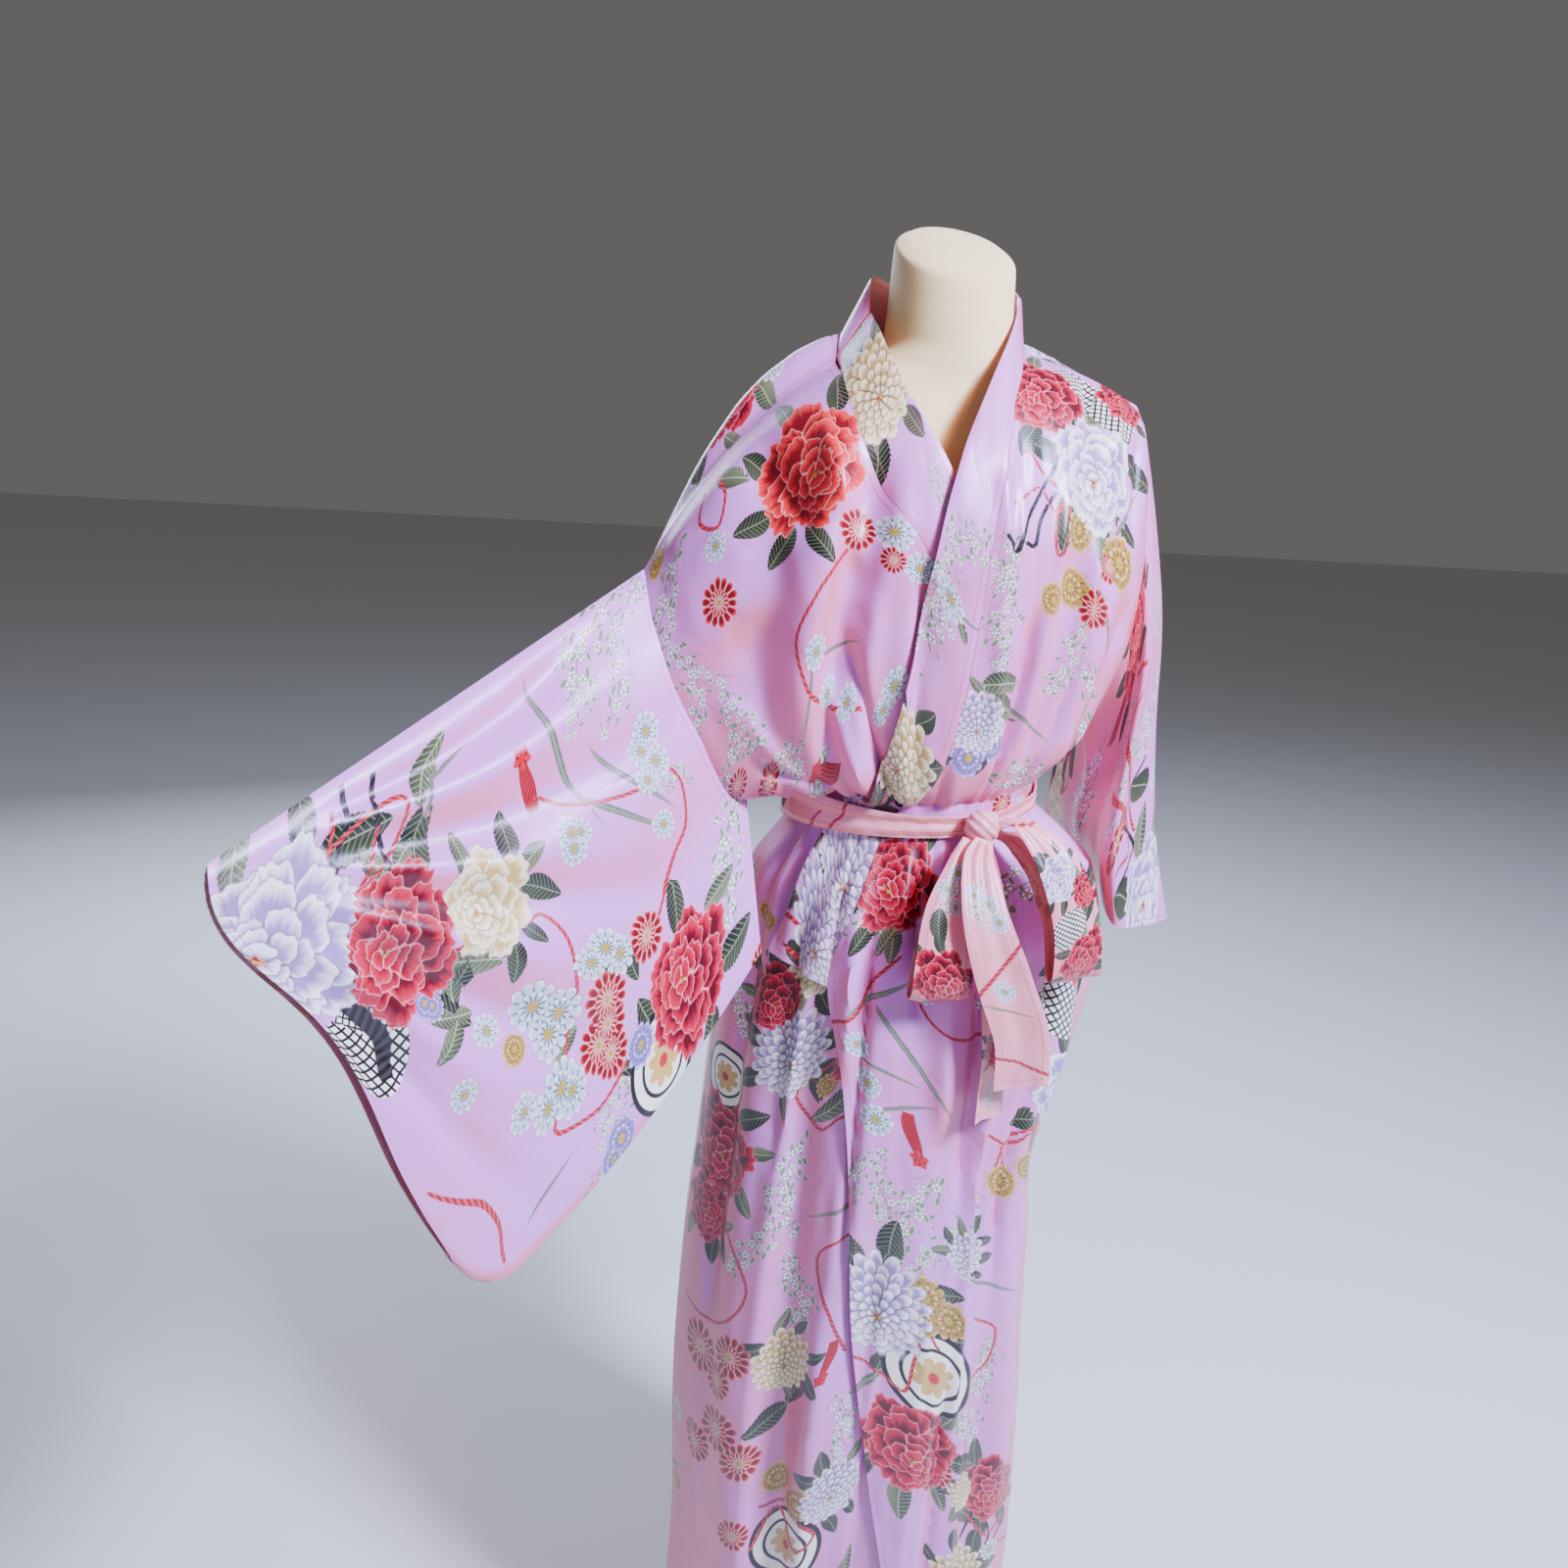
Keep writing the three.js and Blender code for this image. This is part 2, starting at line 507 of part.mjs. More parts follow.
function backPanel(rows, stations) {
  const grid = rows.map((row) => stations.map((across) => {
    const v = row + napeEdge(across) * (1 - row) ** 8;
    return bodyCell(sheets.back, "back", v, across);
  }));
  return wall(grid, CLOTH);
}

const bands = {
  right: {
    sheet: sheets.under, edgeAt: underEdge, widthAt: (v) => frontEdge.underBand(v),
    stand: new THREE.Vector3(...STAND_RIGHT), turn: 1,
  },
  left: {
    sheet: sheets.over, edgeAt: overEdge, widthAt: (v) => frontEdge.overBand(v),
    stand: new THREE.Vector3(...STAND_LEFT), turn: -1,
  },
};

// A collar band beside its front: from the seam to the free edge, standing up beside the neck.
function bandPoint(band, v, b) {
  const seam = band.sheet.point(v, band.edgeAt(v));
  const flat = band.sheet.point(v, band.edgeAt(v, band.widthAt(v) * b));
  return flat.lerp(seam.addScaledVector(band.stand, b), 1 - smooth(0, STAND_FADE, v));
}

// The standing band round the back of the neck.
function neckPoint(across, b) {
  const a = (across - underEdge(0)) / (overEdge(0) - underEdge(0));
  const end = a < 0.5 ? bands.right.stand : bands.left.stand;
  const rise = new THREE.Vector3(...STAND_NAPE).lerp(end, (2 * a - 1) ** 2);
  return sheets.back.point(napeEdge(across), across).addScaledVector(rise, b);
}

// Where a front band meets the neck band, both are as thick in the same direction.
function mitreNormal(band) {
  const end = band.edgeAt(0);
  const down = bandPoint(band, 0.01, 0.5).sub(bandPoint(band, 0, 0.5)).normalize();
  const back = neckPoint(end, 0.5).sub(neckPoint(end + 0.01 * band.turn, 0.5)).normalize();
  return down.add(back).cross(band.stand).multiplyScalar(band.turn).normalize();
}

function frontBand(band) {
  const grid = ROWS.filter((v) => v <= BAND_END).map((row) => [0, 0.5, 1].map((b) => {
    const v = row - BAND_SLANT * b * (row / BAND_END);
    const start = (1.5 * SEAM) / band.widthAt(v) + NECK_SEAM * (1 - smooth(0, 0.03, v));
    const cell = { point: bandPoint(band, v, Math.max(b, start)), normal: null };
    const down = bandPoint(band, v + 0.003, b).sub(bandPoint(band, Math.max(0, v - 0.003), b));
    const wide = bandPoint(band, v, Math.min(1, b + 0.1)).sub(bandPoint(band, v, Math.max(0, b - 0.1)));
    cell.normal = down.cross(wide).multiplyScalar(band.turn).normalize();
    if (row === 0) {
      cell.normal = mitreNormal(band);
    } else if (b === 0) {
      cell.normal = band.sheet.normal(v, band.edgeAt(v));
    }
    return cell;
  }));
  return wall(grid, BAND);
}

function neckBand(stations) {
  const first = underEdge(0);
  const last = overEdge(0);
  const columns = stations.filter((across) => across >= first && across <= last);
  const grid = [0, 0.5, 1].map((b) => columns.map((across) => {
    const step = 0.004;
    const from = neckPoint(Math.max(first, across - step), b);
    const along = neckPoint(Math.min(last, across + step), b).sub(from);
    const up = neckPoint(across, 1).sub(neckPoint(across, 0));
    const cell = { point: neckPoint(across, Math.max(b, NECK_SEAM)), normal: up.cross(along).normalize() };
    if (across === first || across === last) {
      cell.normal = mitreNormal(across === first ? bands.right : bands.left);
      cell.point.addScaledVector(along.normalize(), (across === first ? 1.5 : -1.5) * SEAM);
    }
    return cell;
  }));
  return wall(grid, BAND);
}

// Points of the armhole edges, at the same rows as the body, from the shoulder to the underarm.
const ARMHOLE_ROWS = ROWS.filter((v) => v <= UNDERARM);

function armhole(side, face, v) {
  const sheet = face === "back" ? sheets.back : side < 0 ? sheets.under : sheets.over;
  const point = sheet.point(v, side);
  point.addScaledVector(outwards(sheet, v, side), 0.7 * SEAM);
  return { point, normal: seamNormal(face, v, side) };
}

// The right sleeve is a flat bag held out by its upper cuff corner. s runs from its upper fold to its
// lower edge, a from the armhole to the cuff.
function rightSleeve(sections, lowerSteps) {
  const top = armhole(-1, "front", 0).point;
  const under = armhole(-1, "front", UNDERARM).point;
  const lower = vector(RIGHT_SLEEVE.innerBottom);
  const cuffTop = vector(RIGHT_SLEEVE.cuffTop);
  const cuffBottom = vector(RIGHT_SLEEVE.cuffBottom);
  const facing = cuffTop.clone().sub(top).cross(lower.clone().sub(top)).normalize();
  const upperShare = top.distanceTo(under) / (top.distanceTo(under) + under.distanceTo(lower));
  const drop = cuffTop.distanceTo(cuffBottom);
  const bottom = lower.distanceTo(cuffBottom);
  const length = cuffTop.clone().sub(top).normalize();

  const flat = (a, s, face) => {
    const sag = Math.sin(Math.PI * a);
    const high = top.clone().lerp(cuffTop, a);
    const low = lower.clone().lerp(cuffBottom, a);
    low.z -= RIGHT_SLEEVE.bottomSag * sag;
    const corner = Math.max(0, 1 - ((1 - a) * bottom) / RIGHT_SLEEVE.cornerRadius);
    const lost = (RIGHT_SLEEVE.cornerRadius * (1 - Math.sqrt(1 - corner * corner))) / drop;
    const open = RIGHT_SLEEVE.belly * Math.sin(Math.PI * s) ** 0.8 * (0.3 + 0.7 * sag);
    const apart = s === 0 || s === 1 ? 0 : RIGHT_SLEEVE.gap + open;
    const cuff = RIGHT_SLEEVE.cuffOut * Math.sin(2.6 * Math.PI * s ** 0.8) * (1 - s) * a ** 4;
    const point = high.lerp(low, s * (1 - lost)).addScaledVector(length, cuff);
    return point.addScaledVector(facing, (face === "front" ? 0.5 : -0.5) * apart);
  };
  const inner = (s, v, face) => {
    if (v <= UNDERARM) {
      return armhole(-1, face, v).point;
    }
    const end = lower.clone().addScaledVector(facing, face === "front" ? 0 : -RIGHT_SLEEVE.gap);
    return armhole(-1, face, UNDERARM).point.lerp(end, (s - upperShare) / (1 - upperShare));
  };

  const stations = ARMHOLE_ROWS.map((v) => ({ s: (v / UNDERARM) * upperShare, v }));
  for (let k = 1; k <= lowerSteps; k += 1) {
    stations.push({ s: upperShare + ((1 - upperShare) * k) / lowerSteps, v: 1 });
  }
  const round = stations.map((station) => ({ ...station, face: "front" }));
  round.push(...stations.slice(1).reverse().map((station) => ({ ...station, face: "back" })));
  const grid = [];
  for (let i = 0; i <= sections; i += 1) {
    const a = i / sections;
    grid.push(round.map(({ s, v, face }) => {
      const shift = inner(s, v, face).sub(flat(0, s, face));
      return { point: flat(a, s, face).addScaledVector(shift, (1 - a) ** 2), normal: null };
    }));
  }
  ringNormals(grid, 1);
  armholeNormals(grid[0], round, -1);
  return wall(grid, CLOTH, true);
}

// The first ring of a sleeve is as thick, and in the same direction, as the body's edge beside it.
function armholeNormals(ring, round, side) {
  round.forEach(({ v, face }, i) => {
    if (v <= UNDERARM) {
      ring[i].normal = seamNormal(face, v, side);
    }
  });
}

// Normals of a closed tube of rings, from its own points. turn is 1 or -1, so that they point out.
function ringNormals(grid, turn) {
  const rows = grid.length;
  const columns = grid[0].length;
  for (let i = 0; i < rows; i += 1) {
    const before = grid[Math.max(0, i - 1)];
    const after = grid[Math.min(rows - 1, i + 1)];
    for (let j = 0; j < columns; j += 1) {
      const along = after[j].point.clone().sub(before[j].point);
      const next = grid[i][(j + 1) % columns].point;
      const round = next.clone().sub(grid[i][(j + columns - 1) % columns].point);
      grid[i][j].normal = along.cross(round).normalize().multiplyScalar(turn);
    }
  }
}

// One face of a sleeve: some columns of its tube. Its edges stand back from the tube's other face.
function sleeveFace(tube, columns) {
  const last = columns.length - 1;
  const face = tube.map((ring) => columns.map((j, k) => {
    const { point, normal } = ring[j];
    const beside = k === 0 ? 1 : k === last ? last - 1 : k;
    const inwards = ring[columns[beside]].point.clone().sub(point).normalize();
    return { point: point.clone().addScaledVector(inwards, FACE_GAP), normal };
  }));
  return wall(face, CLOTH);
}

// The left sleeve hangs from its armhole like a slack tube, and its cuff is a loop beside the hip.
// It is two solids, a front and a back, that meet along its upper fold and under the arm.
function leftSleeve(sections) {
  const corners = LEFT_CUFF.map((corner) => new THREE.Vector3(corner.x, corner.y, corner.z));
  const cuff = new THREE.CatmullRomCurve3(corners, true, "centripetal");
  const round = ARMHOLE_ROWS.map((v) => ({ v, face: "front" }));
  round.push(...ARMHOLE_ROWS.slice(1, -1).reverse().map((v) => ({ v, face: "back" })));
  const grid = [];
  for (let i = 0; i <= sections; i += 1) {
    const a = i / sections;
    grid.push(round.map(({ v, face }) => {
      const turn = (0.5 * v) / UNDERARM;
      const loop = cuff.getPoint(face === "front" ? turn : 1 - turn);
      const point = armhole(1, face, v).point.lerp(loop, a);
      point.x += LEFT_PUFF * Math.sin(2 * Math.PI * a);
      return { point, normal: null };
    }));
  }
  ringNormals(grid, -1);
  armholeNormals(grid[0], round, 1);
  const columns = round.map((_, j) => j);
  const under = ARMHOLE_ROWS.length - 1;
  return {
    front: sleeveFace(grid, columns.slice(0, under + 1)),
    back: sleeveFace(grid, [...columns.slice(under), 0]),
  };
}

// The belt goes once round the waist, outside both fronts.
function beltWrap(half) {
  const stations = [];
  for (let j = 0; j < 2 * half; j += 1) {
    const face = j < half ? "front" : "back";
    const turn = ((j % half) + 0.5) / half;
    stations.push({ face, across: (face === "front" ? -1 : 1) * Math.cos(turn * Math.PI) });
  }
  const knotAcross = KNOT.x / edges.left.reach(BELT_PLACE);
  const grid = [-1, 0, 1].map((b) => stations.map(({ face, across }) => {
    const bunched = face === "front" ? Math.exp(-(((across - knotAcross) / 0.45) ** 2)) : 0;
    const v = BELT_PLACE + b * (BELT_HALF + (BELT_KNOT_HALF - BELT_HALF) * bunched);
    const sheet = face === "front" ? sheets.under : sheets.back;
    const free = overEdge(v, frontEdge.overBand(v));
    const over = face === "front" ? overLift(v, across) * smooth(free - 0.45, free - 0.2, across) : 0;
    const normal = sheet.normal(v, across);
    const rest = face === "back" ? BELT_REST * (1 - smooth(0.6, 1, Math.abs(across))) : 0;
    return { point: sheet.point(v, across).addScaledVector(normal, BELT_LIFT + over - rest), normal };
  }));
  return wall(grid, CLOTH, true);
}

// One strip of the bow, along its middle line.
function strip(table, steps) {
  const curve = new THREE.CatmullRomCurve3(table.map((row) => new THREE.Vector3(row.x, row.y, row.z)));
  const stations = table.map((_, i) => i / (table.length - 1));
  const width = track(stations, table.map((row) => row.width));
  const acrossY = track(stations, table.map((row) => row.acrossY));
  const grid = [];
  for (let i = 0; i <= steps; i += 1) {
    const t = i / steps;
    const middle = curve.getPoint(t);
    const tangent = curve.getTangent(t);
    const across = new THREE.Vector3(1, acrossY(t), 0);
    across.addScaledVector(tangent, -across.dot(tangent)).normalize();
    const normal = tangent.clone().cross(across).normalize();
    grid.push([-0.5, 0, 0.5].map((side) => ({
      point: middle.clone().addScaledVector(across, side * width(t)),
      normal,
    })));
  }
  return wall(grid, CLOTH);
}

// A closed body through elliptical sections, capped at both ends.
function loft(table, around) {
  const positions = [];
  const index = [];
  for (const row of table) {
    for (let j = 0; j < around; j += 1) {
      const angle = (2 * Math.PI * j) / around;
      const y = row.halfDepth * Math.sin(angle);
      positions.push(row.halfWidth * Math.cos(angle), row.y + y, row.z + row.tilt * y);
    }
  }
  const ring = (i, j) => i * around + (j % around);
  for (let i = 0; i < table.length - 1; i += 1) {
    for (let j = 0; j < around; j += 1) {
      index.push(ring(i, j), ring(i, j + 1), ring(i + 1, j + 1));
      index.push(ring(i, j), ring(i + 1, j + 1), ring(i + 1, j));
    }
  }
  for (const [i, turn] of [[0, -1], [table.length - 1, 1]]) {
    const row = table[i];
    const middle = positions.length / 3;
    positions.push(0, row.y, row.z);
    for (let j = 0; j < around; j += 1) {
      index.push(middle, ring(i, j + (turn < 0 ? 1 : 0)), ring(i, j + (turn < 0 ? 0 : 1)));
    }
  }
  return geometryOf(positions, index);
}

// The form's sections, with smooth ones between the rows of its table.
function formSections(between) {
  const stations = FORM.map((_, i) => i);
  const columns = ["z", "halfWidth", "halfDepth", "y", "tilt"];
  const found = columns.map((column) => track(stations, FORM.map((row) => row[column])));
  const sections = [];
  for (let i = 0; i <= (FORM.length - 1) * between; i += 1) {
    const values = found.map((value) => value(i / between));
    sections.push(Object.fromEntries(columns.map((column, k) => [column, values[k]])));
  }
  return sections;
}

const cloth = (color) => new THREE.MeshStandardMaterial({ color, roughness: 0.4, metalness: 0 });
const satin = cloth(ROSE);
const paleSatin = cloth(PALE_ROSE);
const canvas = new THREE.MeshStandardMaterial({ color: CREAM, roughness: 0.9, metalness: 0 });
const steel = new THREE.MeshStandardMaterial({ color: STEEL, roughness: 0.35, metalness: 0.9 });

const robe = new THREE.Group();

function add(name, geometry, material) {
  const mesh = new THREE.Mesh(geometry, material);
  mesh.name = name;
  robe.add(mesh);
  return mesh;
}

add("dress_form", loft(formSections(2), 28), canvas);

const poleBottom = BASE_HEIGHT + SEAM;
const poleLength = FORM[0].z - SEAM - poleBottom;
const pole = add("stand_pole", new THREE.CylinderGeometry(POLE_RADIUS, POLE_RADIUS, poleLength, 20), steel);
pole.rotation.x = Math.PI / 2;
pole.position.z = poleBottom + poleLength / 2;

const rim = 4;
const baseProfile = [[0, 0], [BASE_RADIUS, 0], [BASE_RADIUS, BASE_HEIGHT - rim],
  [BASE_RADIUS - rim, BASE_HEIGHT], [0, BASE_HEIGHT]].map(([x, y]) => new THREE.Vector2(x, y));
add("stand_base", new THREE.LatheGeometry(baseProfile, 40), steel).rotation.x = Math.PI / 2;

const frontColumns = 18;
const stations = backStations(9, 8);
add("back_bodice", backPanel(BODICE_ROWS, stations), satin);
add("back_skirt", backPanel(SKIRT_ROWS, stations), satin);
for (const [part, rows] of [["bodice", BODICE_ROWS], ["skirt", SKIRT_ROWS]]) {
  add(`right_front_${part}`, frontPanel(rows, sheets.under, underEdge, -1, frontColumns), satin);
  add(`left_front_${part}`, frontPanel(rows, sheets.over, overEdge, 1, frontColumns), satin);
}
add("right_sleeve", rightSleeve(10, 4), satin);
for (const [face, geometry] of Object.entries(leftSleeve(8))) {
  add(`left_sleeve_${face}`, geometry, satin);
}
add("collar_right", frontBand(bands.right), satin);
add("collar_back", neckBand(stations), satin);
add("collar_left", frontBand(bands.left), satin);

add("belt_wrap", beltWrap(18), paleSatin);
const knot = new THREE.SphereGeometry(1, 14, 9);
knot.scale(KNOT.radiusX, KNOT.radiusY, KNOT.radiusZ);
add("belt_knot", knot, paleSatin).position.set(KNOT.x, KNOT.y, KNOT.z);
add("bow_left_loop", strip(BOW.left_loop, 20), paleSatin);
add("bow_right_loop", strip(BOW.right_loop, 20), paleSatin);
add("belt_long_tail", strip(BOW.long_tail, 12), paleSatin);
add("belt_second_tail", strip(BOW.second_tail, 10), paleSatin);

export default robe;
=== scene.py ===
import math

import bpy
import numpy as np
from mathutils import Matrix, Vector


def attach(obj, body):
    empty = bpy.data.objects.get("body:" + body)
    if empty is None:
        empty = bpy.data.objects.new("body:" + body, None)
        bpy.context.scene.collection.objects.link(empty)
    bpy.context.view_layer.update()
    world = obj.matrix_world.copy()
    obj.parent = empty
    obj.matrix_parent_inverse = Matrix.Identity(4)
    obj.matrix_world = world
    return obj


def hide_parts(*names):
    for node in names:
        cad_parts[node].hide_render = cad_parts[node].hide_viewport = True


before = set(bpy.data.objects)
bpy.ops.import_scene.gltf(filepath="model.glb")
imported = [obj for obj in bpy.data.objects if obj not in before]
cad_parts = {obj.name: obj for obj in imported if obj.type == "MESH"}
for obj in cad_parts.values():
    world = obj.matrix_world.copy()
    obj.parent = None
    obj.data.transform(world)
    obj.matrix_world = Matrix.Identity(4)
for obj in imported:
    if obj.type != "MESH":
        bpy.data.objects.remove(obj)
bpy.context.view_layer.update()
print("frame loaded")

# The camera, in metres and degrees.
view = {
    "lens": 27.0, "sensor": 36.0, "clip": (0.02, 60), "place": (-0.350, -1.078, 1.373),
    "heading": 11.8, "down": 14.5, "roll": 3.5,
}


def addObject(name, data):
    thing = bpy.data.objects.new(name, data)
    bpy.context.scene.collection.objects.link(thing)
    return thing


def makeCamera():
    heading, down, roll = (math.radians(view[key]) for key in ("heading", "down", "roll"))
    data = bpy.data.cameras.new("camera")
    data.lens = view["lens"]
    data.sensor_width = view["sensor"]
    data.clip_start, data.clip_end = view["clip"]
    camera = addObject("camera", data)
    tilt = Matrix.Rotation(math.pi / 2 - down, 4, "X") @ Matrix.Rotation(roll, 4, "Z")
    camera.matrix_world = Matrix.Translation(view["place"]) @ Matrix.Rotation(-heading, 4, "Z") @ tilt
    bpy.context.scene.camera = camera


makeCamera()

# Sizes below are in millimetres, and down the length v runs from the shoulder seams to the hem.
robe = {
    "cloth": 1.3,           # thickness of one layer
    "seam": 0.3,            # gap at a seam
    "overlapLift": 7.0,     # the left front lies this far over the right one
    "bandCloth": 2.6,       # the collar bands are doubled
    "beltLift": 5.6,
    "beltRest": 2.3,        # it lies this much closer behind
    "underarm": 0.262,      # where the armholes end
    "bandEnd": 0.412,
    "bandSlant": 0.013,
    "frontCurve": 2.2,
    "backCurve": 3.0,
    "napeDrop": 0.055,
    "neckSeam": 0.05,
    "standFade": 0.085,
    "sideGap": 0.15,        # half the gap between front and back below the armhole, and at the shoulder
    "shoulderGap": 0.24,
    "creaseDepth": 2.5,
}


def table(columns, text):
    # One dictionary a line. A last word only names its line.
    return [dict(zip(columns.split(), map(float, line.split()))) for line in text.strip().splitlines()]


levels = table("at frontZ frontY backZ backY", """
0 1500 -8 1500 -8 shoulder
.025 1482 -48 1513 28 collar
.055 1440 -86 1496 66 chest
.095 1385 -113 1445 92 bust
.135 1330 -124 1370 103
.19 1250 -123 1270 100 ribs
.255 1145 -118 1165 94 blouse
.282 1112 -106 1126 84
.298 1098 -96 1112 79 belt-top
.32 1070 -96 1082 79 belt-bottom
.355 1005 -117 1010 104
.41 930 -133 932 125 seat
.465 850 -141 850 134
.555 720 -146 720 139
.635 600 -150 600 143 knee
.755 420 -154 420 148
.88 230 -157 230 152
1 46 -158 46 154 hem
""")
rightEdge = table("reach z frontY backY bow", """
268 1290 -38 -38 .9
267 1279 -50 -20 .9
264 1258 -62 -12 .9
256 1230 -76 -8 .95
244 1197 -84 -10 .95
222 1156 -84 -18 .9
177 1090 -62 -48 .7
150 1089 -38 -38 .55
115 1111 -8 -8 .5
117 1068 -6 -6 .5
152 1004 0 0 .5
169 930 0 0 .5
181 850 0 0 .5
192 720 0 0 .5
202 600 0 0 .5
208 420 0 0 .5
203 230 0 0 .5
210 46 0 0 .5
""")
leftEdge = table("reach z frontY backY bow", """
186 1458 -10 -10 .8
189 1436 -27 8 .8
190 1404 -40 20 .75
190 1360 -50 28 .7
190 1312 -55 30 .65
185 1250 -54 24 .6
166 1168 -20 -4 .55
142 1143 -8 -8 .5
117 1118 -6 -6 .5
118 1092 -4 -4 .5
197 1016 0 0 .5
214 936 0 0 .5
202 850 0 0 .5
162 720 0 0 .5
167 600 0 0 .5
182 420 0 0 .5
192 230 0 0 .5
187 46 0 0 .5
""")
frontEdges = table("over overBand under underBand", """
70 12 -104 34
56 22 -104 42
36 33 -98 52
21 41 -80 60
12 46 -44 60
7 51 2 54
-7 54 28 50
-20 50 34 47
-31 45 36 46
-45 45 38 46
-70 50 46 54
-94 48 54 56
-80 50 66 56
-66 50 74 56
-58 50 78 56
-30 50 84 56
3 50 90 56
16 50 94 56
""")
# Where each fold starts and ends across the panel and down the length, how far it stands out, how wide
# it is, and how sharp its far side is. Creases lie on the folds, and ridges have one steep side.
foldColumns = "across toAcross start end out width skew"
sharpness = {"folds": 2.0, "creases": 1.5, "ridges": 1.6}
wrinkles = {
    "front": {
        "folds": table(foldColumns, """
-.3 -.62 .06 .27 -13 .07 1
-.4 -.78 .04 .26 9 .09 1
-.78 -.7 .12 .28 -8 .09 1
.52 .4 .1 .29 -9 .09 1
.76 .62 .12 .29 8 .1 1
.44 .44 .36 1 -12 .11 1
.66 .68 .34 .9 8 .11 1
.86 .86 .36 1 -9 .08 1
-.62 -.5 .4 1 -12 .08 1
-.82 -.76 .36 1 7 .08 1
"""),
        "creases": table(foldColumns, """
-.16 -.22 .14 .29 -3.2 .03 1.6
-.46 -.3 .17 .3 -4 .035 .6
-.56 -.44 .19 .3 3.4 .03 1.5
-.88 -.6 .22 .3 -3.5 .04 1
-.7 -.52 .02 .12 -3 .05 1.5
-.48 -.38 .03 .15 2.6 .04 1
.2 .17 .09 .26 2.4 .035 .7
.33 .25 .16 .3 -4.2 .032 1.4
.62 .48 .17 .3 -3.8 .036 .6
.88 .7 .15 .3 -3.6 .04 1.5
.7 .55 0 .09 -3.2 .04 1
.86 .72 0 .07 2.6 .035 1
.95 .84 .03 .12 -2.8 .04 1
.02 .06 .33 .52 4.4 .045 1.5
-.14 -.1 .33 .44 -3 .028 .7
.18 .24 .33 .58 -4 .034 1.6
.32 .3 .34 .78 3.6 .04 1
.56 .54 .33 .66 -3.6 .03 .6
.78 .74 .33 .6 -4.2 .032 1.4
.1 .02 .58 1 3.2 .06 1
.26 .2 .66 1 -4.6 .05 .7
-.2 -.18 .52 1 -3.4 .05 1.4
-.36 -.34 .34 .62 -4.4 .036 .6
-.48 -.42 .34 .48 3.6 .034 1.5
-.72 -.7 .34 .56 -3.8 .036 1
-.92 -.9 .35 .7 -3.4 .03 1
-.4 -.46 .62 1 4 .06 1.6
-.9 -.88 .7 1 3 .04 1
"""),
        "ridges": table(foldColumns, """
-.37 -.7 .05 .28 8 .085 .34
-.24 -.5 .09 .28 5 .03 2.2
.1 .16 .06 .24 3.5 .04 .5
.44 .34 .08 .28 6 .034 1.9
.66 .5 .1 .29 6.5 .05 .4
.92 .72 .14 .29 5 .04 1.6
-.9 -.68 .17 .29 5.5 .06 .5
-.66 -.7 .35 1 9 .06 .45
-.34 -.52 .46 .92 7 .045 2
-.1 -.3 .56 1 6 .04 .5
.5 .3 .4 1 9 .042 2.2
.74 .8 .36 1 8 .06 .45
.16 .1 .62 1 5 .034 1.8
"""),
    },
    "back": {
        "folds": table(foldColumns, """
-.7 -.55 .1 .29 -9 .1 1
-.2 -.16 .14 .3 -7 .1 1
.34 .26 .16 .29 -8 .1 1
.74 .58 .12 .29 8 .1 1
-.72 -.78 .34 1 -11 .08 1
-.36 -.42 .33 1 -14 .09 1
.02 0 .35 .95 8 .11 1
.38 .42 .33 1 -13 .08 1
.76 .78 .36 1 -12 .09 1
"""),
        "creases": table(foldColumns, """
-.52 -.34 .18 .3 -3.8 .034 .7
-.4 -.3 .12 .3 3.2 .04 1.5
-.06 -.04 .2 .3 -3.4 .03 1
.14 .1 .17 .3 3 .036 .6
.52 .4 .18 .3 -4 .034 1.5
.88 .7 .16 .29 -3.4 .04 1
-.88 -.66 .2 .3 -3.6 .042 1
-.6 -.56 .03 .14 -3 .05 1
.56 .5 .03 .13 -2.8 .045 1.4
-.9 -.86 .34 .72 -3.6 .032 1
-.56 -.58 .33 .6 4.2 .04 .7
-.2 -.18 .34 .64 -4.4 .034 1.5
.18 .16 .33 .54 -4 .036 .6
.56 .58 .33 .7 4 .04 1.4
.9 .88 .34 .62 -3.4 .03 1
-.12 -.1 .6 1 3.8 .05 1.5
.22 .26 .56 1 -4.2 .045 .7
.6 .6 .72 1 -3.6 .04 1
-.62 -.64 .66 1 4.4 .05 1
"""),
        "ridges": table(foldColumns, """
-.6 -.4 .06 .28 6 .06 .45
.24 .12 .1 .29 6 .045 2
.66 .46 .08 .28 7 .06 .5
-.8 -.7 .35 1 8 .05 2
-.24 -.3 .38 1 8 .046 .45
.2 .26 .42 .95 6 .04 1.8
.56 .62 .35 1 9 .056 .45
"""),
    },
}


def smooth(low, high, value):
    t = np.clip((np.asarray(value, float) - low) / (high - low), 0, 1)
    return t * t * (3 - 2 * t)


def hump(a, b, c, d, value):
    # Up from a to b and down again from c to d.
    return smooth(a, b, value) * (1 - smooth(c, d, value))


def bell(off, width, sharp=2.0):
    return np.exp(-(np.abs(off / width) ** sharp))


def spread(a, b):
    return np.broadcast_arrays(np.asarray(a, float), np.asarray(b, float))


def hermite(t, a, leaving, b, arriving):
    start, end = (2 * t**3 - 3 * t**2 + 1) * a, (3 * t**2 - 2 * t**3) * b
    return start + (t**3 - 2 * t**2 + t) * leaving + end + (t**3 - t**2) * arriving


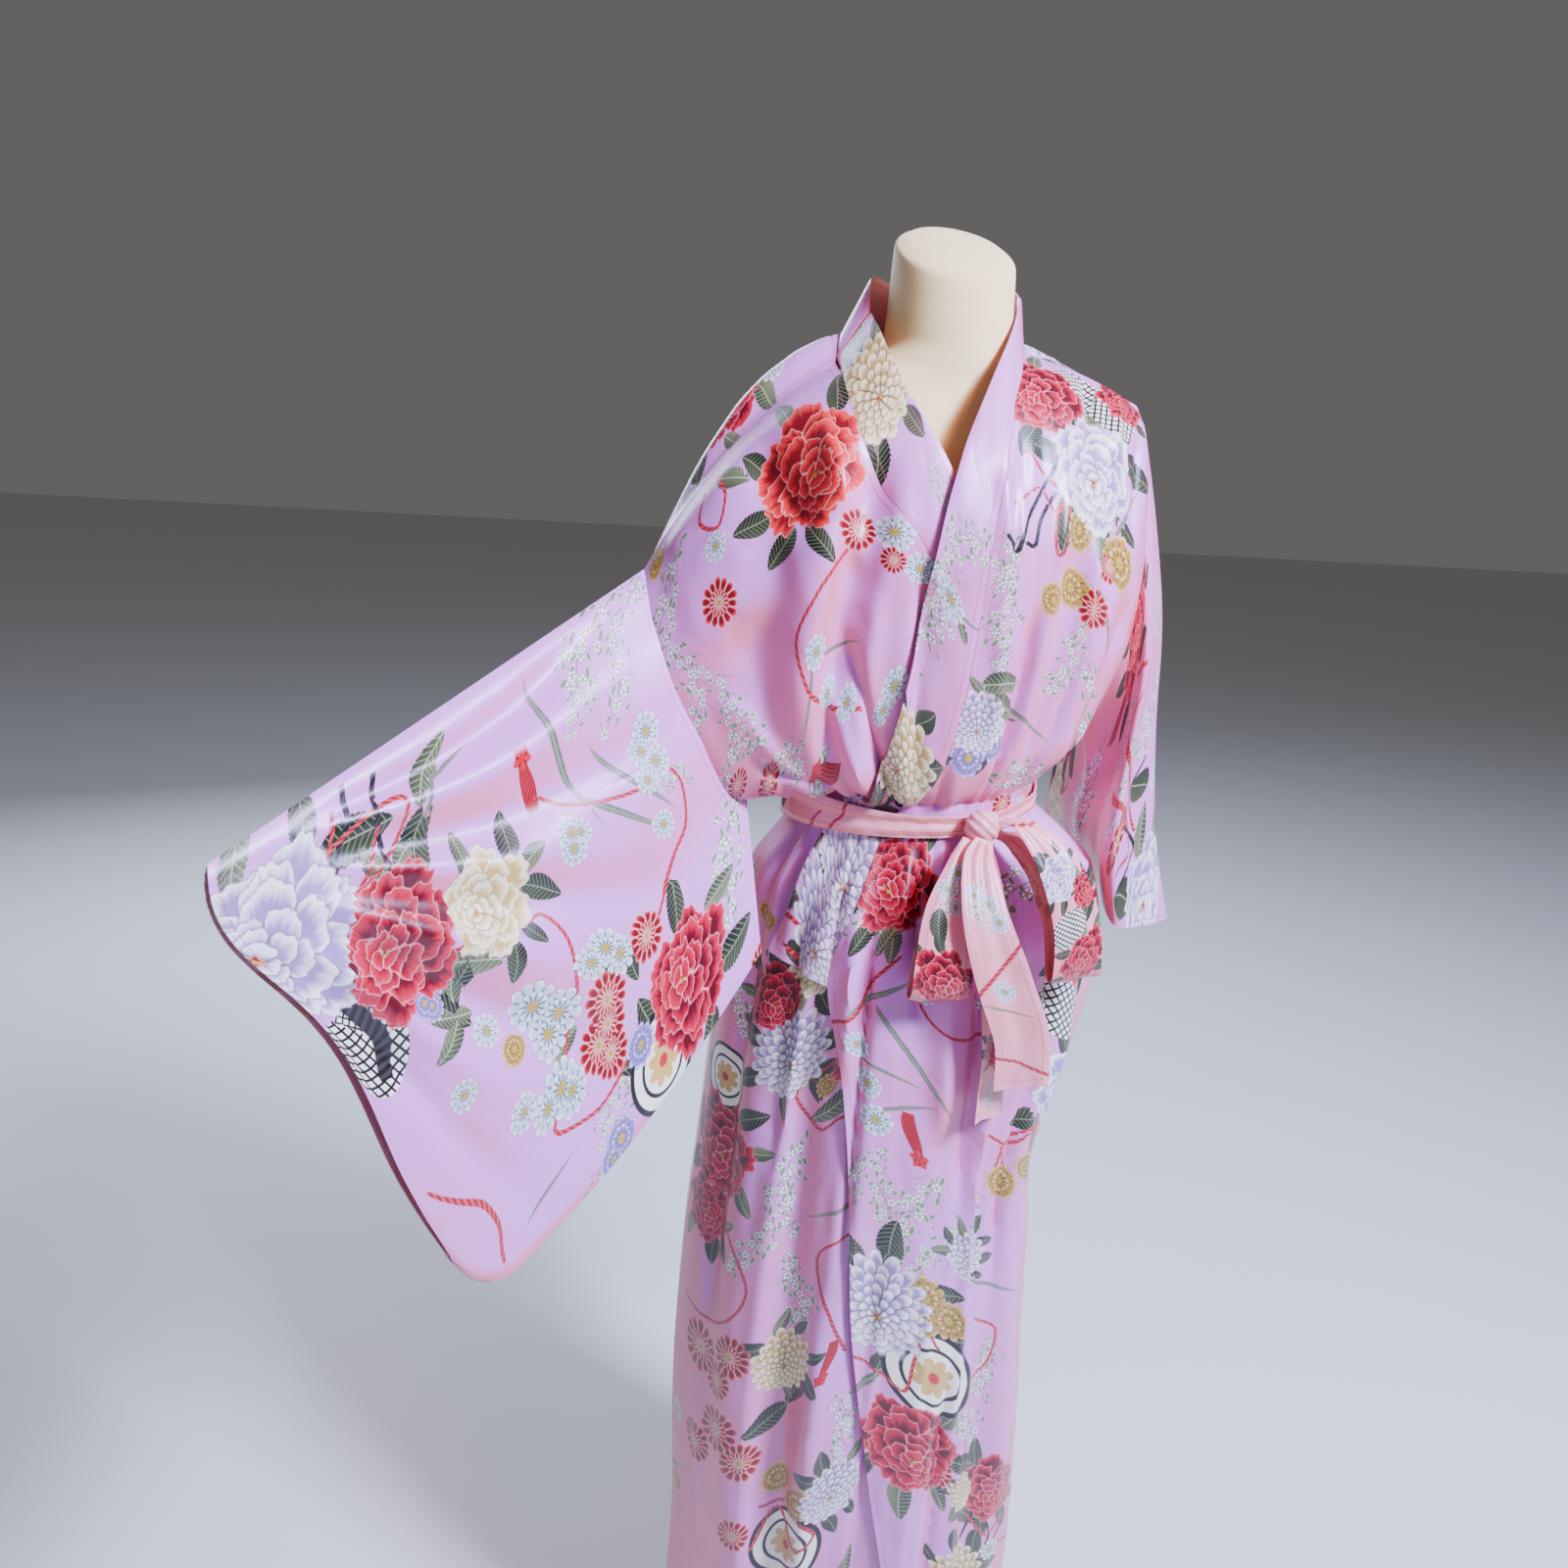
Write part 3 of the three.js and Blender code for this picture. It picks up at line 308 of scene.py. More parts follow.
def track(places, values):
    places, values = np.asarray(places, float), np.asarray(values, float)
    step = np.diff(places)
    slope = np.diff(values) / step
    product = slope[:-1] * slope[1:]
    total = slope[:-1] + slope[1:]
    middle = np.where(product > 0, 2 * product / np.where(total == 0, 1, total), 0)
    tangent = np.concatenate([slope[:1], middle, slope[-1:]])

    def value(at):
        i = np.clip(np.searchsorted(places, at, side="right") - 1, 0, len(step) - 1)
        leaving, arriving = step[i] * tangent[i], step[i] * tangent[i + 1]
        return hermite((at - places[i]) / step[i], values[i], leaving, values[i + 1], arriving)

    return value


def tracks(lines, places):
    return {key: track(places, [line[key] for line in lines]) for key in lines[0]}


heights = [line["at"] for line in levels]
level, frontEdge = tracks(levels, heights), tracks(frontEdges, heights)
edges = {"right": tracks(rightEdge, heights), "left": tracks(leftEdge, heights)}


def softNoise(x, y, seed):
    grid = np.random.default_rng(seed).uniform(-1, 1, (64, 64))
    x, y = spread(x, y)
    i, j = np.floor(x).astype(int), np.floor(y).astype(int)
    fx, fy = smooth(0, 1, x - i), smooth(0, 1, y - j)
    along = lambda b: grid[i % 64, b % 64] * (1 - fx) + grid[(i + 1) % 64, b % 64] * fx
    return along(j) * (1 - fy) + along(j + 1) * fy


def foldFade(fold, at, rise, fall, isOpen=False):
    t = (at - fold["start"]) / (fold["end"] - fold["start"])
    return t, smooth(0, rise, t) * (1 if isOpen else 1 - smooth(fall, 1, t))


def foldHeight(folds, v, across, sharp=2.0):
    total = np.zeros(np.broadcast(v, across).shape)
    for fold in folds:
        t, fade = foldFade(fold, v, 0.25, 0.75, fold["end"] >= 1)
        off = across - (fold["across"] + (fold["toAcross"] - fold["across"]) * t)
        width = fold["width"] * np.where(off > 0, fold["skew"], 1)
        total = total + fold["out"] * fade * bell(off, width, sharp)
    return total


# Gathers over, below and under the belt: how deep, and where down the length they rise and fall.
gathers = {
    "count": 15,
    "depths": (
        (4.2, 0.235, 0.285, 0.297, 0.303),
        (5.0, 0.324, 0.338, 0.345, 0.43),
        (0.9, 0.29, 0.3, 0.33, 0.336),
    ),
    "long": 3.2,
    "pressed": (0.28, 0.3, 0.33, 0.35),
    "crumple": 0.8,
    "seed": {"front": 11, "back": 29},
}


def gatherHeight(face, v, across):
    seed = gathers["seed"][face]
    shift = 0.6 * softNoise(across * 5, v * 6, seed)
    wave = np.sin(2 * math.pi * (gathers["count"] * 0.5 * across + shift))
    strength = 0.5 + 0.5 * softNoise(across * 7 + 9, v * 2, seed + 1)
    depth = sum(deep * hump(*places, v) for deep, *places in gathers["depths"])
    free = smooth(0.0, 0.05, v)
    loose = 1 - 0.7 * hump(*gathers["pressed"], v)
    long = free * gathers["long"] * softNoise(across * 9, v * 4, seed + 2) * loose
    crumple = free * gathers["crumple"] * softNoise(across * 20, v * 46, seed + 3)
    return wave * strength * depth + long + crumple


def bodyForm(face, v, across):
    v, across = spread(v, across)
    t = np.minimum(1, np.abs(across))
    edge = lambda key: np.where(across < 0, edges["right"][key](v), edges["left"][key](v))
    bulge = np.maximum(0, 1 - t * t) ** edge("bow")
    more = robe["backCurve"] - robe["frontCurve"] if face == "back" else 0
    curve = robe["frontCurve"] + more * smooth(0, 0.025, v)
    middle, side, top = level[face + "Y"](v), edge(face + "Y"), level[face + "Z"](v)
    x = np.sign(across) * edge("reach") * t
    return np.stack([x, side + (middle - side) * bulge, top + (edge("z") - top) * t**curve], -1)


def unit(vectors):
    return vectors / np.maximum(np.linalg.norm(vectors, axis=-1, keepdims=True), 1e-9)


def normalOf(v, across, face):
    def step(dv, da):
        after = bodyForm(face, np.minimum(1, v + dv), np.minimum(1, across + da))
        return after - bodyForm(face, np.maximum(0, v - dv), np.maximum(-1, across - da))

    normal = unit(np.cross(step(0.002, 0), step(0, 0.004)))
    return normal if face == "front" else -normal


def bodySheet(face, lift):
    cloth = wrinkles[face]

    def point(v, across):
        v, across = spread(v, across)
        sides = 1 - smooth(0.9, 1, np.abs(across))
        folds, creases, ridges = (foldHeight(cloth[key], v, across, sharpness[key]) for key in sharpness)
        fine = robe["creaseDepth"] * creases + gatherHeight(face, v, across) + ridges
        height = lift(v, across) + (folds + fine) * sides
        return bodyForm(face, v, across) + normalOf(v, across, face) * height[..., None]

    return point


def frontLine(key, way):
    # Where a front panel ends, or the collar band beside it, as a share of the way to the side.
    def edge(v, width=0):
        x = frontEdge[key](v) + way * width
        return x / np.where(x < 0, edges["right"]["reach"](v), edges["left"]["reach"](v))

    return edge


overEdge, underEdge = frontLine("over", -1), frontLine("under", 1)


def overLift(v, across):
    band = np.where(v < robe["bandEnd"], frontEdge["underBand"](v), 0)
    reach = np.minimum(underEdge(v, band) + 0.1, 0.75)
    return robe["overlapLift"] * (1 - smooth(reach, 1, across)) * smooth(0.02, 0.08, v)


sheets = {
    "over": bodySheet("front", overLift),
    "under": bodySheet("front", lambda v, across: 0 * v),
    "back": bodySheet("back", lambda v, across: 0 * v),
}
print("robe's form ready")


def difference(points, axis, closed):
    if closed:
        return np.roll(points, -1, axis) - np.roll(points, 1, axis)
    return np.gradient(points, axis=axis)


def gridNormals(middle, closed, flip):
    normal = unit(np.cross(difference(middle, 0, False), difference(middle, 1, closed)))
    return -normal if flip else normal


def evened(values, axis, mode):
    # The mean over a few neighbours to both sides, so that a print doesn't shear at each crease.
    reach = min(8, values.shape[axis] // 8)
    pad = [(0, 0), (0, 0)]
    pad[axis] = (reach, reach)
    wide = np.pad(values, pad, mode=mode)
    take = lambda k: np.take(wide, np.arange(k, k + values.shape[axis]), axis)
    return sum(take(k) for k in range(2 * reach + 1)) / (2 * reach + 1)


def flatMap(middle, closed, start):
    # Where each point of a sheet lies on its cloth laid flat, in metres.
    points = np.concatenate([middle, middle[:, :1]], 1) if closed else middle
    reach, drop = (np.linalg.norm(np.diff(points, axis=axis), axis=-1) for axis in (1, 0))
    p = np.concatenate([np.zeros((len(points), 1)), np.cumsum(reach, 1)], 1)
    q = np.concatenate([np.zeros((1, points.shape[1])), np.cumsum(drop, 0)], 0)
    column = int(round(start * (points.shape[1] - 1)))
    p = p - p[:, column : column + 1]
    for _ in range(2):
        p, q = evened(p, 0, "edge"), evened(q, 1, "wrap" if closed else "edge")
    return np.stack([p, q], -1) * 0.001


def quads(a, b, c, d):
    return np.stack([a, b, c, d], -1).reshape(-1, 4)


def smoothPiece(name, points, faces):
    mesh = bpy.data.meshes.new(name)
    mesh.from_pydata((points * 0.001).tolist(), [], faces)
    mesh.polygons.foreach_set("use_smooth", np.ones(len(faces), bool))
    mesh.update()
    return addObject(name, mesh)


def sheetMesh(name, middle, thickness, closed=False, flip=False, start=0.0):
    # A shell round the sheet's middle: an outer side, an inner side and the rims between them.
    count, width = middle.shape[:2]
    half = np.broadcast_to(np.asarray(thickness, float) / 2, (count, width))[..., None]
    out = gridNormals(middle, closed, flip) * half
    points = np.concatenate([middle + out, middle - out]).reshape(-1, 3)
    i, j = np.meshgrid(np.arange(count - 1), np.arange(width if closed else width - 1), indexing="ij")
    wide = width + 1
    near = quads(i * wide + j, (i + 1) * wide + j, (i + 1) * wide + j + 1, i * wide + j + 1)
    row, column = near // wide, near % wide
    outer = row * width + column % width
    inner = outer + count * width
    faces, places = [outer, inner[:, ::-1]], [near, near[:, ::-1]]
    rims = [(0, 3), (2, 1)] if closed else [(0, 3), (2, 1), (1, 0), (3, 2)]
    picks = [row[:, 0] == 0, row[:, 1] == count - 1, column[:, 0] == 0, column[:, 3] == width - 1]
    for (a, b), pick in zip(rims, picks):
        faces.append(quads(outer[pick, a], outer[pick, b], inner[pick, b], inner[pick, a]))
        places.append(quads(near[pick, a], near[pick, b], near[pick, b], near[pick, a]))
    faces, places = np.concatenate(faces), np.concatenate(places)
    if flip:
        faces, places = faces[:, ::-1], places[:, ::-1]
    piece = smoothPiece(name, points, faces.tolist())
    piece.data.set_sharp_from_angle(angle=math.radians(60))
    flat = flatMap(middle, closed, start)
    inside = np.zeros(len(faces))
    inside[len(outer) : 2 * len(outer)] = 1
    borders = [flat[:1], flat[-1:]] + ([] if closed else [flat[:, :1], flat[:, -1:]])
    hem = np.min([np.linalg.norm(flat - border, axis=-1) for border in borders], axis=0)
    at = (places // wide, places % wide)
    return {"piece": piece, "flat": flat, "corners": flat[at], "inside": inside, "toHem": hem[at]}


# How fine the panels are. Rows run down the length and columns across it.
detail = {"rows": 250, "front": 72, "back": 118, "band": 12, "nape": 64}


def lengthRows(end=1.0):
    return np.linspace(0, 1, int(detail["rows"] * (0.15 + 0.85 * end))) * end


def armSide(point, v, side):
    edge, near = (point(v, np.full(np.shape(v), share * side)) for share in (1.0, 0.97))
    return unit(edge - near) * robe["seam"]


def closeSeams(middle, face, v, columns):
    way = -1 if face == "back" else 1
    for column, side, sheet in columns:
        arm = v < robe["underarm"]
        middle[arm, column] -= 0.5 * armSide(sheets[sheet], v[arm], side)
        middle[~arm, column, 1] -= robe["sideGap"] * way
    middle[0, :, 1] -= robe["shoulderGap"] * way
    return middle


def frontPanel(name, sheet, edgeAt, side):
    v = lengthRows()
    start = edgeAt(v)[:, None]
    even = np.linspace(0, 1, detail["front"] + 1)[None]
    across = start + (side - start) * (0.35 * np.sin(even * math.pi / 2) + 0.65 * even)
    middle = closeSeams(sheets[sheet](v[:, None], across), "front", v, [(-1, side, sheet)])
    return sheetMesh(name, middle, robe["cloth"], flip=side < 0)


def napeEdge(across):
    right, left = float(underEdge(0.0)), float(overEdge(0.0))
    inside = 1 - ((2 * across - right - left) / (left - right)) ** 2
    return np.where(inside > 1e-6, robe["napeDrop"] * np.maximum(inside, 1e-9) ** 0.6, 0)


def backPanel(name):
    v = lengthRows()
    t = np.linspace(-1, 1, detail["back"] + 1)
    across = (0.8 * t + 0.2 * np.sin(t * math.pi / 2))[None]
    down = v[:, None] + napeEdge(across) * (1 - v[:, None]) ** 8
    middle = sheets["back"](down, np.repeat(across, len(v), 0))
    middle = closeSeams(middle, "back", v, [(0, -1, "back"), (-1, 1, "back")])
    return sheetMesh(name, middle, robe["cloth"], flip=True, start=0.5)


bands = {
    "right": {"sheet": "under", "edge": underEdge, "width": "underBand", "stand": (32, 14, 46), "turn": 1},
    "left": {"sheet": "over", "edge": overEdge, "width": "overBand", "stand": (-2, 16, 50), "turn": -1},
}
nape = np.array([0, -6, 58.0])


def bandPoint(band, v, b):
    v, b = spread(v, b)
    point = sheets[band["sheet"]]
    seam = point(v, band["edge"](v))
    flat = point(v, band["edge"](v, frontEdge[band["width"]](v) * b))
    stand = seam + np.array(band["stand"], float) * b[..., None]
    fade = (1 - smooth(0, robe["standFade"], v))[..., None]
    return flat * (1 - fade) + stand * fade


def softEdge(count, amount):
    # A doubled strip is rounder and thinner at its folded edges.
    b = np.linspace(-1, 1, count)
    return amount * (1 - 0.55 * np.abs(b) ** 8)


def frontBand(name, band):
    b = np.linspace(0, 1, detail["band"] + 1)[None]
    row = lengthRows(robe["bandEnd"])[:, None]
    v = row - robe["bandSlant"] * b * row / robe["bandEnd"]
    start = 1.5 * robe["seam"] / frontEdge[band["width"]](v) + robe["neckSeam"] * (1 - smooth(0, 0.03, v))
    middle = bandPoint(band, v, np.maximum(b, start))
    crease = 0.5 * softNoise(b * 3, v * 60, 5 + band["turn"]) * np.ones(v.shape)
    middle = middle + gridNormals(middle, False, band["turn"] < 0) * crease[..., None]
    return sheetMesh(name, middle, softEdge(b.size, robe["bandCloth"])[None], flip=band["turn"] < 0)


def neckBand(name):
    first, last = float(underEdge(0.0)), float(overEdge(0.0))
    across = np.linspace(first + 0.002, last - 0.002, detail["nape"])
    b = np.linspace(0, 1, detail["band"] + 1)[:, None]
    a = (across - first) / (last - first)
    ends = np.where((a < 0.5)[:, None], bands["right"]["stand"], bands["left"]["stand"])
    rise = nape + (ends - nape) * ((2 * a - 1) ** 2)[:, None]
    foot = sheets["back"](napeEdge(across), across)
    middle = foot[None] + rise[None] * np.maximum(b, robe["neckSeam"])[..., None]
    return sheetMesh(name, middle, softEdge(b.size, robe["bandCloth"])[:, None])


# The right sleeve is held out by its upper cuff corner; creases fan out from there.
rightSleeve = {
    "cuffTop": (-556, -330, 1120), "cuffBottom": (-396, -296, 758), "innerBottom": (-160, -112, 962),
    "cornerRadius": 45, "cuffOut": 16, "bottomSag": 26, "gap": 5, "belly": 30, "length": 450,
    "rows": 92, "around": (46, 34),
    "fan": table("angle start end out width", """
7 .1 1 -5.5 2.6
14 .05 .95 7 3.2
23 .16 1.1 -8 3.4
31 .08 .8 6 2.6
38 .22 1.05 -7 3
47 .06 .85 7.5 3.8
57 .14 1 -8 3.6
68 .05 .8 6 3.4
78 .1 .95 -6 3.2
"""),
}


def armhole(side, v, front=True):
    # The sleeve's edge beside the body's seam, on the front panel or, where front is false, on the back.
    def edge(sheet):
        return sheets[sheet](v, np.full(np.shape(v), float(side))) + 0.7 * armSide(sheets[sheet], v, side)

    return np.where(np.asarray(front)[..., None], edge("under" if side < 0 else "over"), edge("back"))


def sleeveFan(a, s, drop):
    length = rightSleeve["length"]
    x, y = (1 - a) * length, s * drop
    distance, angle = np.hypot(x, y), np.degrees(np.arctan2(y, x))
    total = 0.9 * softNoise(a * 5, s * 7, 61) + 0.35 * softNoise(a * 17, s * 15, 62)
    for fold in rightSleeve["fan"]:
        fade = foldFade(fold, distance / length, 0.35, 0.6)[1]
        turned = fold["angle"] + 3 * np.sin(distance / 90)
        total = total + fold["out"] * fade * bell(angle - turned, fold["width"])
    return total


def rightSleeveMesh(name):
    c = rightSleeve
    top, under = (armhole(-1, np.array(v)) for v in (0.0, robe["underarm"]))
    lower, cuffTop, cuffBottom = (np.array(c[key], float) for key in ("innerBottom", "cuffTop", "cuffBottom"))
    facing = unit(np.cross(cuffTop - top, lower - top))
    opening = np.linalg.norm(top - under)
    upperShare = opening / (opening + np.linalg.norm(under - lower))
    drop, bottom = np.linalg.norm(cuffTop - cuffBottom), np.linalg.norm(lower - cuffBottom)
    above, beyond = c["around"]
    stations = np.concatenate([np.linspace(0, upperShare, above), np.linspace(upperShare, 1, beyond)[1:]])
    s = np.concatenate([stations, stations[::-1][:-1]])
    front = np.arange(len(s)) < len(stations)
    v = np.minimum(s / upperShare, 1) * robe["underarm"]
    hole = armhole(-1, v, front)
    end = lower - facing * np.where(front, 0, c["gap"])[:, None]
    below = np.clip((s - upperShare) / (1 - upperShare), 0, 1)[:, None]
    inner = np.where((s <= upperShare)[:, None], hole, hole * (1 - below) + end * below)
    a = np.linspace(0, 1, c["rows"] + 1)[:, None]
    sag = np.sin(math.pi * a)
    high = top + (cuffTop - top) * a[..., None]
    low = lower + (cuffBottom - lower) * a[..., None]
    low = low - np.array([0, 0, 1.0]) * (c["bottomSag"] * sag)[..., None]
    corner = np.maximum(0, 1 - (1 - a) * bottom / c["cornerRadius"])
    lost = c["cornerRadius"] * (1 - np.sqrt(1 - corner**2)) / drop
    openness = c["belly"] * np.maximum(np.sin(math.pi * s), 0) ** 0.8 * (0.3 + 0.7 * sag)
    apart = (c["gap"] + openness) * smooth(0, 0.02, s) * smooth(0, 0.02, 1 - s)
    cuff = c["cuffOut"] * np.sin(2.6 * math.pi * s**0.8) * (1 - s) * a**4
    share = (s * (1 - lost))[..., None]
    flat = high * (1 - share) + low * share + unit(cuffTop - top) * cuff[..., None]
    flat = flat + facing * (np.where(front, 0.5, -0.5)[None] * apart)[..., None]
    middle = flat + (inner - flat[:1]) * ((1 - a) ** 2)[..., None]
    crease = sleeveFan(a, s[None], drop) * smooth(0, 0.12, a) * smooth(0, 0.05, s) * smooth(0, 0.05, 1 - s)
    middle = middle + facing * (crease * np.where(front, 1, 0.8))[..., None]
    return sheetMesh(name, middle, robe["cloth"], closed=True)


leftSleeve = {
    "rows": 96, "around": 62, "sway": 9,
    "cuff": table("x y z", """
298 4 950
208 -64 962
226 46 984
222 152 972
"""),
    "folds": table("turn start end out width", """
.06 .15 1 4 .03
.15 .3 1 -5 .028
.24 .05 .8 3.4 .026
.4 .2 1 -4 .035
.58 .25 1 4 .035
.72 .1 .9 -4.4 .03
.84 .2 1 4.2 .034
.93 .05 .9 -3.4 .025
"""),
}


def places(lines):
    return np.array([[line["x"], line["y"], line["z"]] for line in lines], float)


def closedCurve(points, turns):
    # A smooth closed curve through the points, spaced by the square root of their distances.
    count = len(points)
    at = turns % 1 * count
    i = np.floor(at).astype(int) % count
    p = [points[(i + k - 1) % count] for k in range(4)]
    gap = [(np.maximum(np.sum((p[k + 1] - p[k]) ** 2, -1), 1e-9) ** 0.25)[:, None] for k in range(3)]

    def tangent(k):
        before, after = gap[k], gap[k + 1]
        whole = (p[k + 2] - p[k]) / (before + after)
        return ((p[k + 1] - p[k]) / before - whole + (p[k + 2] - p[k + 1]) / after) * gap[1]

    return hermite((at - np.floor(at))[:, None], p[1], tangent(0), p[2], tangent(1))


def leftSleeveMesh(name):
    half = np.linspace(0, 1, leftSleeve["around"])
    turn = np.concatenate([half * 0.5, 1 - half[::-1][1:-1] * 0.5])
    v = np.where(turn <= 0.5, turn, 1 - turn) * 2 * robe["underarm"]
    hole = armhole(1, v, turn <= 0.5)
    a = np.linspace(0, 1, leftSleeve["rows"])[:, None]
    middle = hole * (1 - a)[..., None] + closedCurve(places(leftSleeve["cuff"]), turn) * a[..., None]
    middle[..., 0] += leftSleeve["sway"] * np.sin(2 * math.pi * a)
    height = 0.8 * softNoise(turn[None] * 24, a * 6, 71) * np.ones(middle.shape[:2])
    for fold in leftSleeve["folds"]:
        fade = foldFade(fold, a, 0.4, 0.7, fold["end"] >= 1)[1]
        height = height + fold["out"] * fade * bell(turn[None] - fold["turn"], fold["width"])
    middle = middle + gridNormals(middle, True, True) * (height * smooth(0, 0.1, a))[..., None]
    return sheetMesh(name, middle, robe["cloth"], closed=True, flip=True)


belt = {
    "place": 0.3149, "half": 0.0082, "knotHalf": 0.007, "cloth": 1.8,
    "around": 150, "across": 15, "pleats": (0.9, 0.5),
}
knot = {"place": (35, -119.0, 1081), "size": (17, 12, 16), "grid": (49, 72), "ridges": 0.045, "crumple": 0.03}


def beltWrap(name):
    half = belt["around"]
    turn = (np.arange(2 * half) % half + 0.5) / half
    front = np.arange(2 * half) < half
    across = np.where(front, -1, 1) * np.cos(turn * math.pi)
    knotAcross = knot["place"][0] / float(edges["left"]["reach"](belt["place"]))
    bunched = np.where(front, bell(across - knotAcross, 0.45), 0)
    b = np.linspace(-1, 1, belt["across"])[:, None]
    v = belt["place"] + b * (belt["half"] + (belt["knotHalf"] - belt["half"]) * bunched)
    wide = np.broadcast_to(across, v.shape)
    middle = np.empty(v.shape + (3,))
    for face, pick in (("front", front), ("back", ~front)):
        w, c = v[:, pick], wide[:, pick]
        height = foldHeight(wrinkles[face]["folds"], w, c) * (1 - smooth(0.9, 1, np.abs(c)))
        if face == "front":
            free = overEdge(w, frontEdge["overBand"](w))
            lift = overLift(w, c) * np.clip((c - free + 0.45) / 0.25, 0, 1) ** 2
        else:
            lift = -robe["beltRest"] * (1 - smooth(0.6, 1, np.abs(c)))
        height = height + lift + robe["beltLift"]
        middle[:, pick] = bodyForm(face, w, c) + normalOf(w, c, face) * height[..., None]
    angle = np.arange(2 * half) / half * math.pi
    deep, fine = belt["pleats"]
    pleat = deep * np.sin(b * 5.2 + 1.2 * softNoise(angle * 3, b * 0 + 4, 81)) * np.ones(v.shape)
    pleat = pleat + fine * softNoise(angle[None] * 14, b * 2 + 8, 82)
    normal = gridNormals(middle, True, False)
    outwards = np.sign(np.sum(normal[..., :2] * middle[..., :2], -1, keepdims=True).mean())
    middle = middle + normal * outwards * pleat[..., None]
    return sheetMesh(name, middle, belt["cloth"], closed=True, flip=outwards < 0)


bowCloth = {"thick": 1.7, "columns": 21, "rows": {True: 130, False: 90}, "pleats": (1.9, 1.5, 0.9)}
bowColumns = "x y z width acrossY"
bow = {
    "bow_left_loop": table(bowColumns, """
22.6 -124.2 1070.8 14 0
10 -143 1052 26 0
-4 -160 1012 44 0
-8 -173 968 52 -.1
-8 -171 940 53 -.1
-8 -157 936 53 -.1
-6 -152 962 50 -.1
0 -143 1006 40 0
14 -128 1048 24 0
27 -114 1067 12 0
"""),
    "bow_right_loop": table(bowColumns, """
53.6 -120 1090 14 0
72 -136 1084 26 .2
98 -152 1054 44 .2
118 -160 1004 50 .2
124 -160 956 52 .2
124 -146 950 52 .2
116 -138 998 48 .2
94 -132 1042 38 .2
70 -122 1066 24 .1
51.6 -113 1073 12 0
"""),
    "belt_long_tail": table(bowColumns, """
33 -130.9 1073 16 0
22 -152 1054 30 0
26 -176 1010 44 0
46 -183 955 50 0
66 -184 905 51 0
71 -184 856 52 0
"""),
    "belt_second_tail": table(bowColumns, """
39 -121 1065.2 12 0
42 -138 1030 20 0
46 -150 985 32 .3
50 -158 930 40 .5
53 -163 870 42 .6
52 -165 815 42 .6
"""),
}


def openCurve(points, t):
    # A smooth curve through the points, with even shares for its stretches.
    last = len(points) - 1
    ends = np.concatenate([[2 * points[0] - points[1]], points, [2 * points[-1] - points[-2]]])
    at = np.clip(t, 0, 1) * last
    i = np.minimum(np.floor(at).astype(int), last - 1)
    p = [ends[i + k] for k in range(4)]
    return hermite((at - i)[:, None], p[1], (p[2] - p[0]) / 2, p[2], (p[3] - p[1]) / 2)


def bowStrip(name, seed, looped):
    lines = bow[name]
    strip = tracks(lines, np.linspace(0, 1, len(lines)))
    t = np.linspace(0, 1, bowCloth["rows"][looped])
    middle = openCurve(places(lines), t)
    tangent = unit(np.gradient(middle, axis=0))
    across = np.stack([np.ones(len(t)), strip["acrossY"](t), np.zeros(len(t))], -1)
    across = unit(across - tangent * np.sum(across * tangent, -1, keepdims=True))
    normal = unit(np.cross(tangent, across))
    side = np.linspace(-0.5, 0.5, bowCloth["columns"])[None]
    tight, loose, fine = bowCloth["pleats"]
    close = (np.abs(2 * t - 1) ** 1.5 if looped else np.clip(1 - t * 1.6, 0, 1))[:, None]
    pleat = tight * close * np.sin(side * 17 + seed)
    pleat = pleat + loose * (1 - close) * np.sin(side * 6.5 + 2.2 * t[:, None] + seed)
    pleat = pleat + fine * softNoise(side * 5 + seed, t[:, None] * 9, 90 + seed)
    pleat = pleat * smooth(0, 0.08, t)[:, None] * (smooth(0, 0.08, 1 - t)[:, None] if looped else 1)
    out = (side * strip["width"](t)[:, None])[..., None]
    grid = middle[:, None] + across[:, None] * out + normal[:, None] * pleat[..., None]
    return sheetMesh(name, grid, softEdge(side.size, bowCloth["thick"])[None])


def knotRings():
    # A wrapped knot: three turns of gathered cloth over one another.
    rings, around = knot["grid"]
    w = np.linspace(0, 2 * math.pi, around, endpoint=False)
    u, w = np.meshgrid(np.linspace(0, math.pi, rings), w, indexing="ij")
    ball = np.stack([np.sin(u) * np.cos(w), np.sin(u) * np.sin(w), np.cos(u)], -1)
    lean = ball[..., 0] * 0.6 + ball[..., 2] * 0.8
    ridge = knot["ridges"] * np.sin(lean * 13 + 1.4 * ball[..., 0])
    ridge = ridge + knot["crumple"] * softNoise(w * 2.2, u * 4, 97)
    return ball * np.array(knot["size"], float) * (1 + ridge)[..., None] + np.array(knot["place"], float)


def closedBall(name, points):
    # Rings from the top down, of which the first and the last close to one point.
    count, width = points.shape[:2]
    top, bottom = points[0].mean(0), points[-1].mean(0)
    verts = np.concatenate([points[1:-1].reshape(-1, 3), [top, bottom]])
    ring = lambda i, j: i * width + j % width
    faces = []
    for i in range(count - 3):
        faces += [(ring(i, j), ring(i + 1, j), ring(i + 1, j + 1), ring(i, j + 1)) for j in range(width)]
    faces += [(len(verts) - 2, ring(0, j), ring(0, j + 1)) for j in range(width)]
    faces += [(len(verts) - 1, ring(count - 3, j + 1), ring(count - 3, j)) for j in range(width)]
    return smoothPiece(name, verts, faces)


